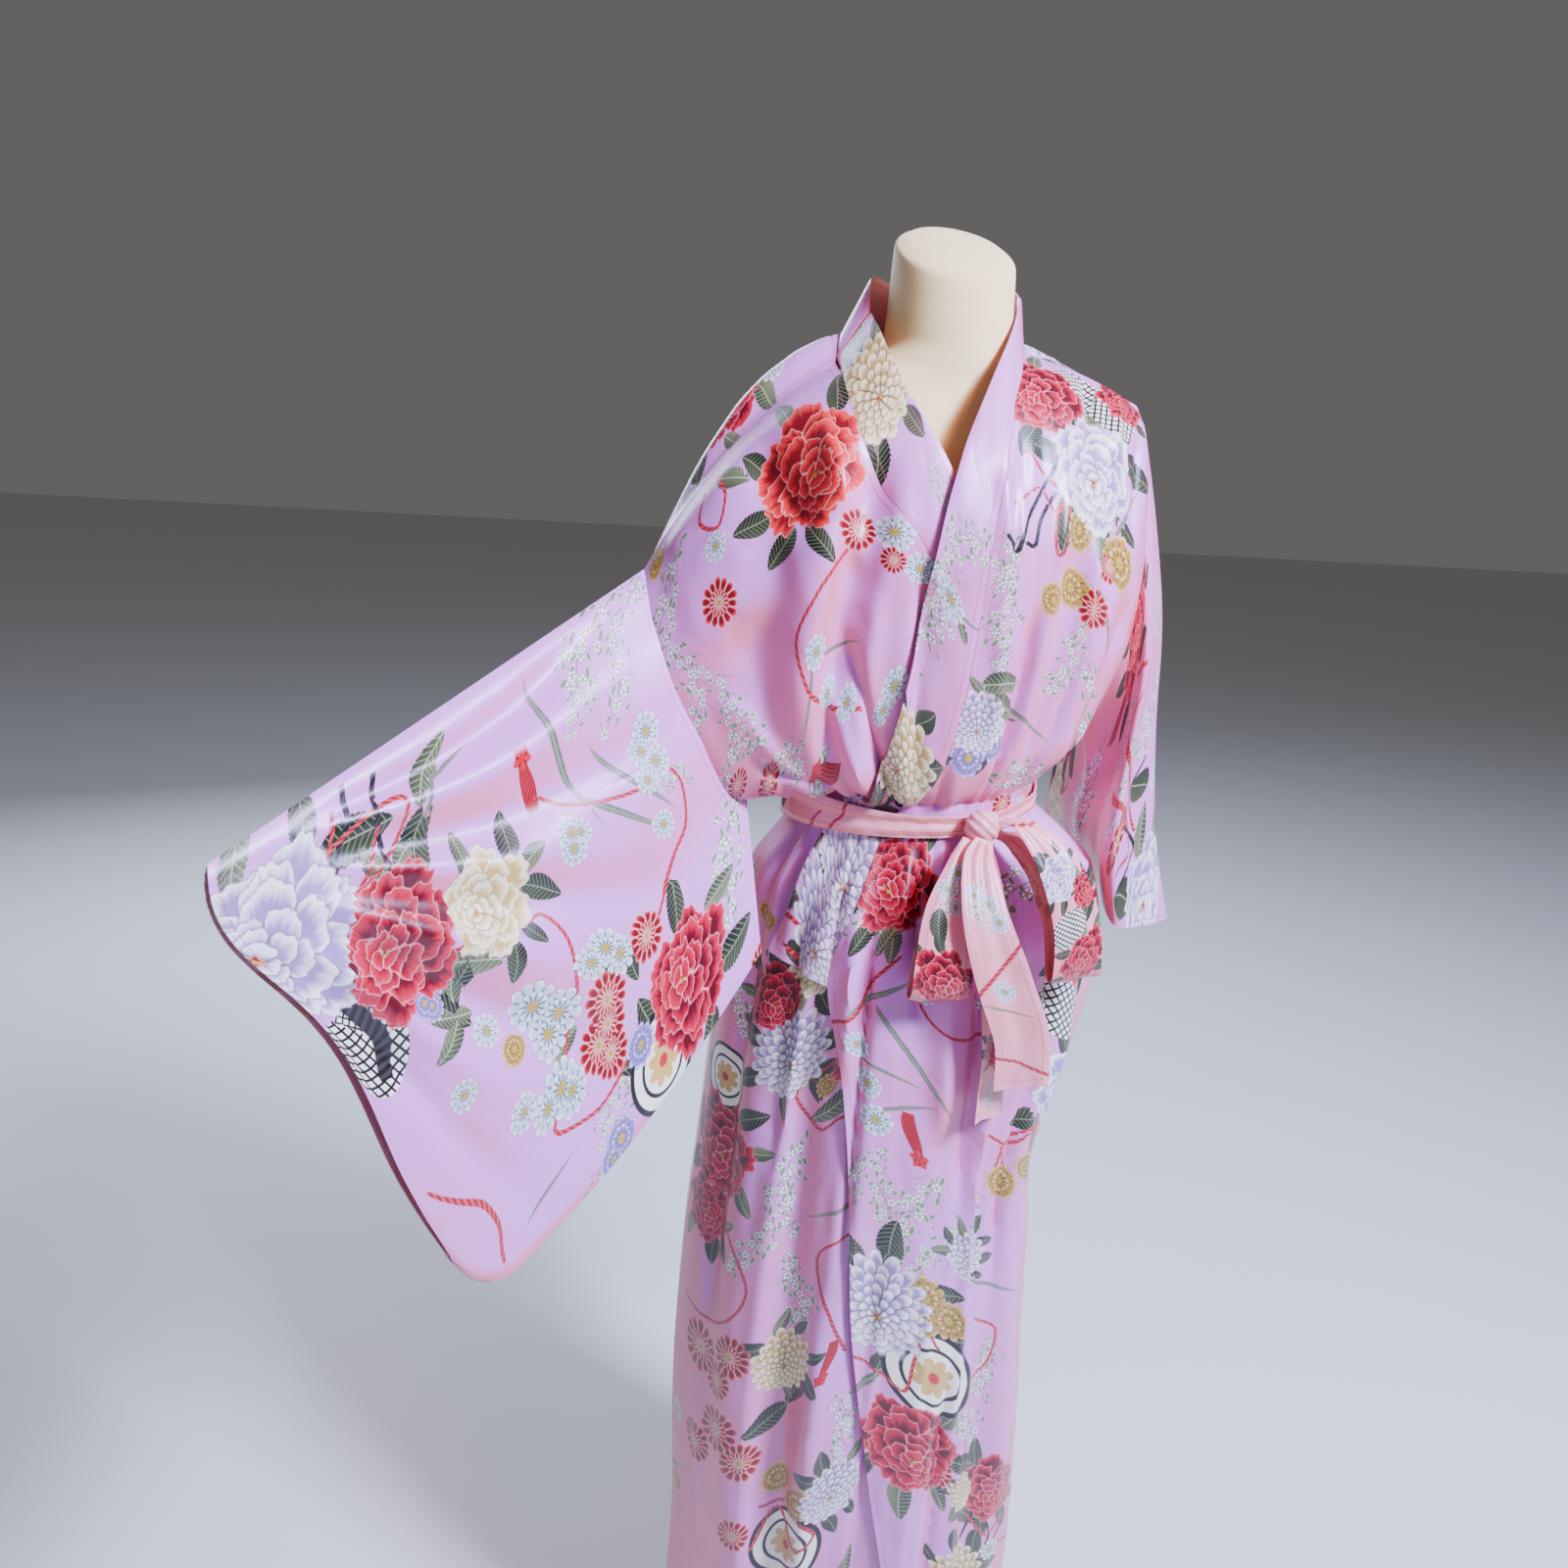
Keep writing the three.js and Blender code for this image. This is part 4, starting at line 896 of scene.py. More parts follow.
# The dress form: half sizes of its sections and how far each tilts forward.
form = {
    "around": 112,
    "between": 9,
    "sections": table("z halfWidth halfDepth y tilt", """
800 150 98 4 0
880 164 110 5 0
985 140 94 3 0
1082 103 76 -6 0
1180 121 88 -6 0
1310 146 98 -8 0
1385 160 86 -2 0
1432.5 158 64 2 0
1461.6 122 55 2 0
1478.5 76 54 0 0
1500 58 54 -1 .05
1536 56 53 -2 .3
1572 54 51 -2 .55
1580 44 42 -2 .55
"""),
    "cap": (0.93, 0.8, 0.6, 0.4, 0.22, 0.08, 0.0),
    "foot": (0.0, 0.5, 0.97),
    "crown": 5.5,
    "dimple": (6, 3, 2.7),    # the cap dips where its cover is gathered
}


def formRings():
    lines = form["sections"]
    last = len(lines) - 1
    at = np.linspace(0, last, last * form["between"] + 1)
    row = {key: value(at)[:, None] for key, value in tracks(lines, np.arange(last + 1.0)).items()}
    angle = np.linspace(0, 2 * math.pi, form["around"], endpoint=False)[None]
    y = row["halfDepth"] * np.sin(angle)
    points = np.stack([row["halfWidth"] * np.cos(angle), row["y"] + y, row["z"] + row["tilt"] * y], -1)
    inset = lambda i, share: points[i].mean(0) + (points[i] - points[i].mean(0)) * share
    cap = []
    for share in form["cap"]:
        ring = inset(-1, share)
        ring[:, 2] += form["crown"] * (1 - share**2)
        x, y, deep = form["dimple"]
        ring[:, 2] -= deep * np.exp(-(((ring[:, 0] - x) ** 2 + (ring[:, 1] - y) ** 2) / 60))
        cap.append(ring)
    return np.concatenate([[inset(0, share) for share in form["foot"]], points, cap])[::-1]


# Radius and height of the stand's outlines, from the top down.
stand = {
    "around": 96,
    "pole": ((0, 786), (15, 786), (15, 60), (17, 58), (17, 30), (21, 27), (26, 20), (28, 14.6), (0, 14.6)),
    "base": ((0, 14), (138, 14), (145, 13.2), (148.5, 11.6), (150, 9), (150, 5), (149, 2), (146, 0), (0, 0)),
}


def turnedRings(profile):
    turn = np.linspace(0, 2 * math.pi, stand["around"], endpoint=False)
    radius, height = np.array(profile, float).T[..., None]
    return np.stack([radius * np.cos(turn), radius * np.sin(turn), height + 0 * turn], -1)


# The print: flowers, leaves, sprays and cords are stamped on each panel's flat cloth. Every face near
# a motif stores where it lies on that motif, and the shader draws it from there.
def paint(code):
    straight = lambda c: c / 12.92 if c <= 0.04045 else ((c + 0.055) / 1.055) ** 2.4
    return tuple(straight(int(code[k : k + 2], 16) / 255) for k in (0, 2, 4))


kinds = {
    # layer, petals, ruffle, core, colours of tip, base and outline; a leaf's width; an odd motif's number
    "redPeony": ("big", 6, 1.1, 0.07, "c80f38", "560216", "f0909c"),
    "coralPeony": ("big", 6, 1.1, 0.07, "ee3038", "7a0416", "f8a8a0"),
    "lavenderPeony": ("big", 6, 1.0, 0.07, "f2ecf4", "9478b8", "5c5070"),
    "creamPeony": ("big", 6, 0.9, 0.08, "faf0cc", "c8a45c", "6a583c"),
    "creamMum": ("big", 17, 0.0, 0.07, "f8ecc0", "ac8c4c", "4c422e"),
    "lavenderMum": ("big", 18, 0.0, 0.07, "f2ecf2", "8a70a8", "453c50"),
    "redMum": ("small", 14, 0.0, 0.14, "dc2636", "7c0618", "f0a4a0"),
    "whiteDaisy": ("small", 11, 0.0, 0.22, "fafcfe", "b4c4d4", "2c383e"),
    "goldDaisy": ("small", 11, 0.0, 0.22, "ecd290", "a88236", "5c4218"),
    "lavenderDaisy": ("small", 11, 0.0, 0.22, "dcd0f6", "8068b8", "4c4670"),
    "leaf": ("leaf", 0.48, 0, 0, "38422c", "161c14", "8e9678"),
    "paleLeaf": ("leaf", 0.42, 0, 0, "66724e", "36422c", "b8c0a0"),
    "blade": ("leaf", 0.05, 0, 0, "5e6a52", "46543e", "84907a"),
    "spray": ("spray", 0, 0, 0),
    "drum": ("odd", 1, 0, 0),
    "tassel": ("odd", 2, 0, 0),
    "lattice": ("odd", 3, 0, 0),
}
layers = ("big", "small", "leaf", "spray", "odd")
colourParts = ("Tip", "Base", "Rim")
cordTones = ("red", "black")
nowhere = 9.0


def turned(offset, turn, size):
    x, y = offset[..., 0], offset[..., 1]
    c, s = math.cos(turn), math.sin(turn)
    return np.stack([x * c + y * s, y * c - x * s], -1) / size


def stampLayer(sheet, layer, stamps):
    corners = sheet["corners"]
    middle, best = corners.mean(1), np.full(len(corners), 1e9)
    at = np.full(corners.shape[:2] + (3,), nowhere)
    facts = np.zeros(at.shape)
    colours = np.zeros((3,) + at.shape[:2] + (4,))
    for stamp in stamps:
        kind, place = kinds[stamp["kind"]], (stamp["at"], stamp["turn"], stamp["size"])
        if kind[0] != layer:
            continue
        local = turned(middle - place[0], *place[1:])
        tall = {"leaf": kind[1] + 0.12, "spray": 0.62}.get(layer, 1.0)
        score = np.hypot(local[:, 0], local[:, 1] / tall)
        pick = (score < 1.06 + 0.004 / stamp["size"]) & (score < best)
        best[pick] = score[pick]
        at[pick, :, :2] = turned(corners[pick] - place[0], *place[1:])
        at[pick, :, 2] = stamp["seed"]
        facts[pick] = kind[1:4]
        for colour, code in zip(colours, kind[4:]):
            colour[pick] = (*paint(code), 1)
    return at, facts, colours


def pathLayer(sheet, paths):
    # How far each face lies from the nearest cord, in half widths, and how far along it.
    corners = sheet["corners"]
    middle, best = corners.mean(1), np.full(len(corners), 1e9)
    at = np.full(corners.shape[:2] + (3,), nowhere)
    for path in paths:
        points = openCurve(np.array(path["points"], float), np.linspace(0, 1, 24 * len(path["points"])))
        run = np.concatenate([[0], np.cumsum(np.linalg.norm(np.diff(points, axis=0), axis=1))])
        tangent = unit(np.gradient(points, axis=0))
        low, high = points.min(0) - 0.02, points.max(0) + 0.02
        near = np.where(((middle > low) & (middle < high)).all(1))[0]
        if not len(near):
            continue
        gap = np.linalg.norm(middle[near][:, None] - points[None], axis=2)
        nearest, score = gap.argmin(1), gap.min(1)
        pick = (score < path["half"] + 0.0045) & (score < best[near])
        chosen, foot = near[pick], nearest[pick]
        best[chosen] = score[pick]
        offset = corners[chosen] - points[foot][:, None]
        along = tangent[foot][:, None]
        at[chosen, :, 0] = (offset[..., 0] * along[..., 1] - offset[..., 1] * along[..., 0]) / path["half"]
        at[chosen, :, 1] = run[foot][:, None] + np.sum(offset * along, -1)
        at[chosen, :, 2] = path["tone"]
    return at


def keep(mesh, name, values, kind="FLOAT_VECTOR"):
    key = {"FLOAT_COLOR": "color", "FLOAT_VECTOR": "vector", "FLOAT": "value"}[kind]
    attribute = mesh.attributes.new(name, kind, "CORNER")
    attribute.data.foreach_set(key, np.ascontiguousarray(values, dtype=np.float32).ravel())


def keepCloth(mesh, cords, flat, inside, toHem):
    keep(mesh, "cordAt", cords)
    keep(mesh, "flatCloth", flat)
    keep(mesh, "innerSide", inside, "FLOAT")
    keep(mesh, "toHem", toHem, "FLOAT")


def stampPrint(sheet, stamps, paths):
    mesh, corners = sheet["piece"].data, sheet["corners"]
    for layer in layers:
        at, facts, colours = stampLayer(sheet, layer, stamps)
        keep(mesh, layer + "At", at)
        if layer != "spray":
            keep(mesh, layer + "Facts", facts)
        if layer in ("big", "small", "leaf"):
            for part, colour in zip(colourParts, colours):
                keep(mesh, layer + part, colour, "FLOAT_COLOR")
    flat = np.concatenate([corners, np.zeros(corners.shape[:2] + (1,))], -1)
    keepCloth(mesh, pathLayer(sheet, paths), flat, np.repeat(sheet["inside"], 4), sheet["toHem"])


def leavePlain(mesh):
    # A piece with no print of its own.
    count = len(mesh.loops)
    away = np.full((count, 3), nowhere)
    for layer in layers:
        keep(mesh, layer + "At", away)
    corners = np.array([mesh.vertices[loop.vertex_index].co for loop in mesh.loops])
    keepCloth(mesh, away, corners, np.zeros(count), np.ones(count))


def onCloth(sheet, down, across):
    flat = sheet["flat"]
    return flat[int(round(down * (flat.shape[0] - 1))), int(round(across * (flat.shape[1] - 1)))]


scatter = {
    # how many of a kind a square metre takes, its widths in mm, and how much of its room it needs
    "redPeony": (16, (80, 110), 0.95),
    "lavenderPeony": (5, (70, 95), 0.95),
    "creamMum": (8, (55, 80), 0.95),
    "lavenderMum": (7, (55, 85), 0.95),
    "drum": (4, (55, 80), 0.95),
    "redMum": (34, (32, 46), 0.95),
    "tassel": (7, (42, 56), 0.9),
    "whiteDaisy": (36, (22, 32), 0.9),
    "goldDaisy": (34, (22, 32), 0.9),
    "spray": (46, (110, 170), 0.42),
    "blade": (50, (90, 150), 0.35),
}
# The leaves round a big flower: how many, the steps between them, and their size beside the flower's.
wreath = {"count": (6, 9), "step": (0.55, 1.05), "size": 0.42, "vary": (0.75, 1.25), "out": 0.40, "lean": 0.5}
halfMillimetre = 0.0005


def readPrint(text):
    # An entry is a kind and its places on the panel: down, across, width in mm and turn in degrees. A
    # cord's entry is its colour, half its width in mm and the places it passes.
    placed, cords = [], []
    for entry in filter(None, text.split(";")):
        kind, groups = entry.split(maxsplit=1)
        groups = [tuple(map(float, group.split())) for group in groups.split(",")]
        if kind in cordTones:
            cords.append((kind, groups[0][0], groups[1:]))
        else:
            placed += [(kind, *group, 0)[:5] for group in groups]
    return placed, cords


def layOut(sheet, look, seed):
    # Listed motifs first, then others at random wherever they fit, with leaves round the flowers.
    rng = np.random.default_rng(seed)
    scattered, text = look
    placed, cords = readPrint(text)
    stamps, taken = [], []

    def put(kind, at, size, turn):
        stamp = {"kind": kind, "at": np.array(at), "size": size, "turn": turn}
        stamps.append(dict(stamp, seed=rng.uniform(0, 8)))

    def room(at, size, share):
        return all(np.hypot(*(at - other)) > share * (size + reach) for other, reach in taken)

    for kind, down, across, width, turn in placed:
        at, size = onCloth(sheet, down, across), width * halfMillimetre
        put(kind, at, size, math.radians(turn))
        taken.append((at, size))
    flat = sheet["flat"]
    for kind, (count, widths, share) in scatter.items():
        for _ in range(int(sheet["area"] * scattered * count)):
            for _ in range(30):
                i, j = rng.integers(0, flat.shape[0]), rng.integers(0, flat.shape[1])
                at, size = flat[i, j], rng.uniform(*widths) * halfMillimetre
                if room(at, size, share):
                    put(kind, at, size, rng.uniform(0, 2 * math.pi))
                    taken.append((at, size))
                    break
    for flower in [stamp for stamp in stamps if kinds[stamp["kind"]][0] == "big"]:
        turn = rng.uniform(0, 2 * math.pi)
        for _ in range(int(rng.integers(*wreath["count"]))):
            turn += rng.uniform(*wreath["step"])
            size = wreath["size"] * flower["size"] * rng.uniform(*wreath["vary"])
            away = np.array([math.cos(turn), math.sin(turn)]) * (flower["size"] + wreath["out"] * size)
            kind = "leaf" if rng.uniform() < 0.75 else "paleLeaf"
            put(kind, flower["at"] + away, size, turn + rng.uniform(-wreath["lean"], wreath["lean"]))
    paths = []
    for tone, half, passed in cords:
        points = [onCloth(sheet, *place) for place in passed]
        paths.append({"points": points, "tone": cordTones.index(tone), "half": half * 0.001})
    stampPrint(sheet, stamps, paths)


def maths(operation, swapped=False):
    # A method that adds one Math node.
    def apply(self, *others):
        values = (*others, self) if swapped else (self, *others)
        return self.board.add("Math", {"operation": operation}, dict(enumerate(values)))

    return apply


class Wire:
    # A socket that can be used in an expression.
    def __init__(self, board, socket):
        self.board, self.socket = board, socket

    __add__ = __radd__ = maths("ADD")
    __mul__ = __rmul__ = maths("MULTIPLY")
    __sub__, __rsub__ = maths("SUBTRACT"), maths("SUBTRACT", swapped=True)
    __truediv__, __rtruediv__ = maths("DIVIDE"), maths("DIVIDE", swapped=True)
    __pow__, __mod__ = maths("POWER"), maths("FLOORED_MODULO")
    size, least, most = maths("ABSOLUTE"), maths("MINIMUM"), maths("MAXIMUM")
    sine, nearest, heading = maths("SINE"), maths("ROUND"), maths("ARCTAN2")

    def split(self):
        node = self.board.add("SeparateXYZ", {}, {0: self}).socket.node
        return [Wire(self.board, socket) for socket in node.outputs]

    def ramp(self, low, high, start=0.0, end=1.0, kind="LINEAR"):
        places = dict(enumerate((self, low, high, start, end)))
        return self.board.add("MapRange", {"interpolation_type": kind}, places)

    def fall(self, low, high):
        return self.ramp(low, high, 1.0, 0.0)

    def beat(self):
        # How far a value lies from the middle of its whole step.
        return (self % 1.0 - 0.5).size()

    def mix(self, a, b):
        return self.board.add("Mix", {"data_type": "RGBA"}, {0: self, 6: a, 7: b}, 2)


def radiusOf(x, y):
    return (x * x + y * y) ** 0.5


def angleOf(x, y):
    return y.heading(x) * (0.5 / math.pi)


class Board:
    # One material's nodes. A colour may be given as its code.
    def __init__(self, name):
        self.material = bpy.data.materials.new(name)
        self.material.use_nodes = True
        self.tree = self.material.node_tree
        self.tree.nodes.clear()

    def add(self, kind, settings={}, inputs={}, output=0):
        node = self.tree.nodes.new("ShaderNode" + kind)
        for key, value in settings.items():
            setattr(node, key, value)
        for key, value in inputs.items():
            if isinstance(value, Wire):
                self.tree.links.new(value.socket, node.inputs[key])
            else:
                node.inputs[key].default_value = (*paint(value), 1) if isinstance(value, str) else value
        return Wire(self, node.outputs[output]) if node.outputs else None

    def stored(self, name, output="Vector"):
        return self.add("Attribute", {"attribute_name": name}, output=output)

    def colours(self, layer):
        return [self.stored(layer + part, "Color") for part in colourParts]

    def geometry(self, output):
        return self.add("NewGeometry", output=output)

    def join(self, x, y, z=0.0):
        return self.add("CombineXYZ", {}, {0: x, 1: y, 2: z})

    def vectors(self, operation, a, b):
        return self.add("VectorMath", {"operation": operation}, {0: a, 1: b})

    def noise(self, vector, scale, detail=2.0, rough=0.5):
        inputs = {"Vector": vector, "Scale": scale, "Detail": detail, "Roughness": rough}
        return self.add("TexNoise", {}, inputs)

    def bump(self, strength, distance, height):
        inputs = {"Strength": strength, "Distance": distance, "Height": height}
        return self.add("Bump", {}, inputs)

    def finish(self, **inputs):
        inputs = {key.replace("_", " "): value for key, value in inputs.items()}
        self.add("OutputMaterial", {}, {0: self.add("BsdfPrincipled", {}, inputs)})
        return self.material


# Rings of petals from the outside in: size, turn, share of the petals, notch and rise.
flowers = {
    "small": {
        "rings": ((1.0, 0.0, 1, 0.26, 0.0), (0.58, 0.5, 1, 0.24, 0.0)),
        "line": 0.055,
        "core": ("d0a040", "7d8a40"),
    },
    "big": {
        "rings": (
            (1.0, 0.0, 1.0, 0.26, 0.0), (0.84, 0.45, 1.0, 0.24, 0.05), (0.69, 0.2, 0.84, 0.24, 0.11),
            (0.53, 0.7, 0.80, 0.24, 0.17), (0.37, 0.3, 0.65, 0.24, 0.22), (0.21, 0.8, 0.45, 0.22, 0.25),
        ),
        "line": 0.024,
        "core": ("d09a40", "7c1424"),
    },
}


def drawFlower(board, layer, ground):
    flower = flowers[layer]
    line = flower["line"]
    x, y, seed = board.stored(layer + "At").split()
    petals, ruffle, core = board.stored(layer + "Facts").split()
    tip, base, rim = board.colours(layer)
    bumpy = board.noise(board.join(x + seed, y - seed, seed), 2.3, 1.0) - 0.5
    x, y = x + ruffle * bumpy * 0.22, y - ruffle * bumpy * 0.18
    colour = ground
    for size, turn, part, notch, rise in flower["rings"]:
        high = y - rise
        radius, angle = radiusOf(x, high), angleOf(x, high) + seed
        count = (petals * part).nearest()
        place = angle * count + turn
        share = place.beat() * 2
        cell = board.join((place - place % 1.0) % count, turn * 7 + seed)
        petal = board.add("TexWhiteNoise", {"noise_dimensions": "2D"}, {"Vector": cell})
        frill = board.noise(board.join(angle * 14, seed + turn * 5), 3.0, 1.0) - 0.5
        wavy = ruffle * (0.16 * frill + 0.03 * (share * 12.0).sine())
        gap = size * (0.93 + 0.12 * petal - notch * share**2.4 + wavy) - radius
        sideways = (1 - share) * radius * math.pi / count
        outline = gap.least(sideways).fall(line * 0.4, line)
        streak = board.noise(board.join(angle * 46, radius * 1.5, seed), 3.0, 1.0) - 0.5
        depth = gap + streak * 0.16 + share * 0.05 - petal * 0.05
        fill = depth.ramp(0.0, 0.20, 1.0, 0.0, "SMOOTHSTEP").mix(base, tip)
        colour = gap.ramp(-0.010, 0.010).mix(colour, (outline * 0.85).mix(fill, rim))
    dots = board.noise(board.join(x, y), 16.0, 0.0).ramp(0.45, 0.55)
    return (core - radius).ramp(-0.01, 0.03).mix(colour, dots.mix(*flower["core"]))


def drawLeaf(board, ground):
    x, y, seed = board.stored("leafAt").split()
    wide = board.stored("leafFacts").split()[0]
    tip, base, rim = board.colours("leaf")
    y = y + 0.10 * (x * 1.7 + seed).sine() * wide * 2
    full = (1 - x * x).most(0.0) ** 0.75 * (1 - 0.25 * x) * wide
    teeth = 1 + 0.13 * ((x * 7.0 + seed) % 1.0 - 0.5)
    gap = full * teeth - y.size()
    rib = y.size().fall(0.012, 0.03)
    veins = ((x + y.size() * 0.75) * 5.5).beat().fall(0.06, 0.14)
    leaf = (rib.most(veins * 0.55) * 0.8).mix((y / wide).ramp(-0.8, 0.9).mix(base, tip), rim)
    return gap.ramp(-0.012, 0.012).mix(ground, leaf)


# A spray's blossoms: how close they stand, their shift, how far out they reach, and which are leaves.
spray = {
    "bend": 0.22,
    "stem": "7d7f7c",
    "clusters": ((6.0, 5.1, 0.34, True), (4.9, 0.0, 0.28, False)),
    "leaf": ("6f8068", "c9d2c0"),
    "blossom": ("fcfcfe", "3a4448"),
    "heart": "9ba35e",
}


def drawSpray(board, ground):
    # Little blossoms in clusters along a bent stem, with twigs to both sides.
    at = board.stored("sprayAt")
    x, y, seed = at.split()
    bend = lambda value: spray["bend"] * (value * 2.4 + seed).sine()
    off = (y - bend(x)).size()
    twigs = ((x + off * 1.1) * 3.5).beat().fall(0.020, 0.045) * off.fall(0.30, 0.34)
    stem = off.fall(0.008, 0.020).most(twigs) * x.size().fall(0.86, 0.90)
    colour = (stem * 0.85).mix(ground, spray["stem"])
    for scale, shift, share, leafy in spray["clusters"]:
        place = board.vectors("ADD", at, board.join(seed + shift, seed * 1.7))
        cells = {"Vector": place, "Scale": scale, "Randomness": 0.8}
        cell = board.add("TexVoronoi", {"voronoi_dimensions": "2D"}, cells).socket.node
        dx, dy, _ = board.vectors("SUBTRACT", place, Wire(board, cell.outputs["Position"])).split()
        cx, cy = x - dx, y - dy
        chance = Wire(board, cell.outputs["Color"]).split()[0]
        reach = share * (1 - cx * cx).most(0.0)
        there = (reach * (0.45 + chance * 0.9) - (cy - bend(cx)).size()).ramp(0.0, 0.004)
        if leafy:
            lean = (chance * 3.0 - 1.5).sine()
            gap = 0.042 - radiusOf((dx + dy * lean) * 0.42, dy - dx * lean)
            bloom = gap.fall(0.006, 0.012).mix(*spray["leaf"])
        else:
            radius = radiusOf(dx, dy)
            lobe = ((angleOf(dx, dy) + chance) * 5).beat() * 2
            gap = 0.084 * (1 - 0.34 * lobe**2.5) - radius
            outline = gap.least((1 - lobe) * radius * 0.6).fall(0.006, 0.018)
            bloom = radius.fall(0.012, 0.020).mix((outline * 0.8).mix(*spray["blossom"]), spray["heart"])
        colour = (gap.ramp(-0.005, 0.005) * there).mix(colour, bloom)
    return colour


odd = {
    "black": "1c1a1c", "cream": "f3efe4", "gold": "c9a45c", "red": "b81a2c", "threads": ("6c0614", "c8142c"),
}


def drawDrum(x, y, ground):
    # A drum's head: black rims and a gold flower.
    radius = radiusOf(x, y)
    head = radius.fall(0.93, 0.95).mix(ground, odd["black"])
    head = radius.fall(0.82, 0.84).mix(head, odd["cream"])
    head = (radius - 0.58).size().fall(0.030, 0.045).mix(head, odd["black"])
    lobe = (angleOf(x, y) * 8).beat() * 2
    head = (0.44 * (1 - 0.35 * lobe**2) - radius).ramp(-0.01, 0.01).mix(head, odd["gold"])
    return radius.fall(0.10, 0.13).mix(head, odd["red"])


def drawTassel(x, y, ground):
    # A looped knot over a bent skirt of threads.
    bent = y + 0.14 * (x * 2.4).sine()
    loops = (angleOf(x - 0.52, bent) * 5).beat()
    knot = (radiusOf(x - 0.52, bent) * (0.8 + loops * 0.9)).fall(0.25, 0.27)
    skirt = (0.24 - 0.20 * (x + 0.35) ** 2 - bent.size()).ramp(0.0, 0.02)
    skirt = skirt * x.ramp(-0.92, -0.90) * x.fall(0.36, 0.38)
    threads = knot.mix((bent * 13).beat().ramp(0.1, 0.4), loops.fall(0.30, 0.46))
    return knot.most(skirt).mix(ground, threads.mix(*odd["threads"]))


def drawLattice(x, y, ground):
    bars = ((x + y) * 4.5).beat().least(((x - y) * 4.5).beat()).fall(0.13, 0.17)
    return radiusOf(x, y * 1.25).fall(0.90, 0.92).mix(ground, bars.mix(odd["cream"], odd["black"]))


def drawOdd(board, ground):
    x, y, _ = board.stored("oddAt").split()
    kind = board.stored("oddFacts").split()[0]
    near = x.size().fall(2.0, 2.1)
    result = ground
    for number, draw in enumerate((drawDrum, drawTassel, drawLattice), 1):
        result = ((kind - number).size().fall(0.2, 0.3) * near).mix(result, draw(x, y, ground))
    return result


cord = {"red": ("8e1424", "d0404c"), "black": ("3a3436", "161416"), "twists": 130}


def drawCord(board, ground):
    off, along, tone = board.stored("cordAt").split()
    twist = (along * cord["twists"] + off * 0.5).beat().ramp(0.12, 0.34)
    colour = tone.fall(0.4, 0.6).mix(twist.mix(*cord["black"]), twist.mix(*cord["red"]))
    return off.size().fall(0.80, 1.0).mix(ground, colour)


# Painted light and shade on the satin: its salmon ground, the cloth's colour deepened to stand for shade,
# shows where it turns down or away, and a painted lavender sheen of the cool window light covers it where it
# lies open to the front and up.
satin = {
    "ground": "e6787a", "paintedSheen": "d888e0", "lie": (0.18, 0.67, 0.66), "turn": (0.46, 0.82),
    "inner": "e08c90", "thread": "a84a62", "rough": 0.31, "coat": 0.22, "hem": 0.0065,
}


def satinMaterial(name, look):
    board = Board(name)
    flat = board.stored("flatCloth")
    drift = board.noise(flat, 3.0, 1.0) - 0.5
    across, forward, upward = board.geometry("Normal").split()
    a, b, c = look["lie"]
    # Painted light: how far each face turns to the front and up, with a random drift, sets how much painted
    # lavender sheen covers the salmon.
    lie = across.size() * a + forward.size() * b + upward * c + drift * 0.5
    colour = lie.ramp(*look["turn"], 0.22, 1.0, "SMOOTHSTEP").mix(look["ground"], look["paintedSheen"])
    for draw in (drawSpray, drawLeaf, drawOdd, drawCord):
        colour = draw(board, colour)
    for layer in ("small", "big"):
        colour = drawFlower(board, layer, colour)
    inner, toHem = board.stored("innerSide", "Fac"), board.stored("toHem", "Fac")
    colour = (inner * 0.72).mix(colour, look["inner"])
    along, down, _ = flat.split()
    dashes = ((along + down) * 260).beat().fall(0.28, 0.36)
    stitch = (toHem - look["hem"]).size().fall(0.0003, 0.0007) * dashes
    colour = (stitch * 0.7).mix(colour, look["thread"])
    crinkle = (board.noise(flat, 9.0, 2.0, 0.4) - 0.5).size().ramp(0.0, 0.035)
    weave = {"wave_type": "BANDS", "bands_direction": "Y"}
    threads = {"Vector": flat, "Scale": 520.0, "Distortion": 2.0, "Detail": 2.0}
    threads = board.add("TexWave", weave, threads)
    fine, soft = board.noise(flat, 140.0, 4.0, 0.6), board.noise(flat, 26.0, 3.0, 0.55)
    rough = look["rough"] + 0.10 * (fine - 0.5) + 0.08 * (soft - 0.5) + inner * 0.12
    height = threads * 0.10 + fine * 0.35 + soft * 0.9 + crinkle * 0.8 - stitch * 0.8
    height = height + toHem.ramp(look["hem"], 0.0075, 0.7, 0.0)
    return board.finish(
        Base_Color=colour, Roughness=rough, Normal=board.bump(0.22, 0.002, height), Coat_Weight=look["coat"],
        Coat_Roughness=0.24, Sheen_Weight=0.06, Sheen_Roughness=0.4, Sheen_Tint=(0.90, 0.80, 1.0, 1),
        Specular_IOR_Level=0.5, Specular_Tint=(0.85, 0.80, 1.0, 1),
    )


def coverMaterial(name, colour, deep, rough):
    board = Board(name)
    place = board.geometry("Position")
    x, _, z = place.split()
    weave = ((x * 5200).sine() * (z * 5200).sine()) * 0.5 + 0.5
    fine = board.noise(place, 420.0, 2.0)
    tone = board.noise(place, 9.0, 3.0).ramp(0.3, 0.75).mix(colour, deep)
    tone = fine.ramp(0.3, 0.8, 0.0, 0.25).mix(tone, deep)
    return board.finish(
        Base_Color=tone, Roughness=rough + 0.1 * (fine - 0.5), Sheen_Weight=0.2, Sheen_Roughness=0.6,
        Normal=board.bump(0.25, 0.0006, weave * 0.5 + fine),
    )


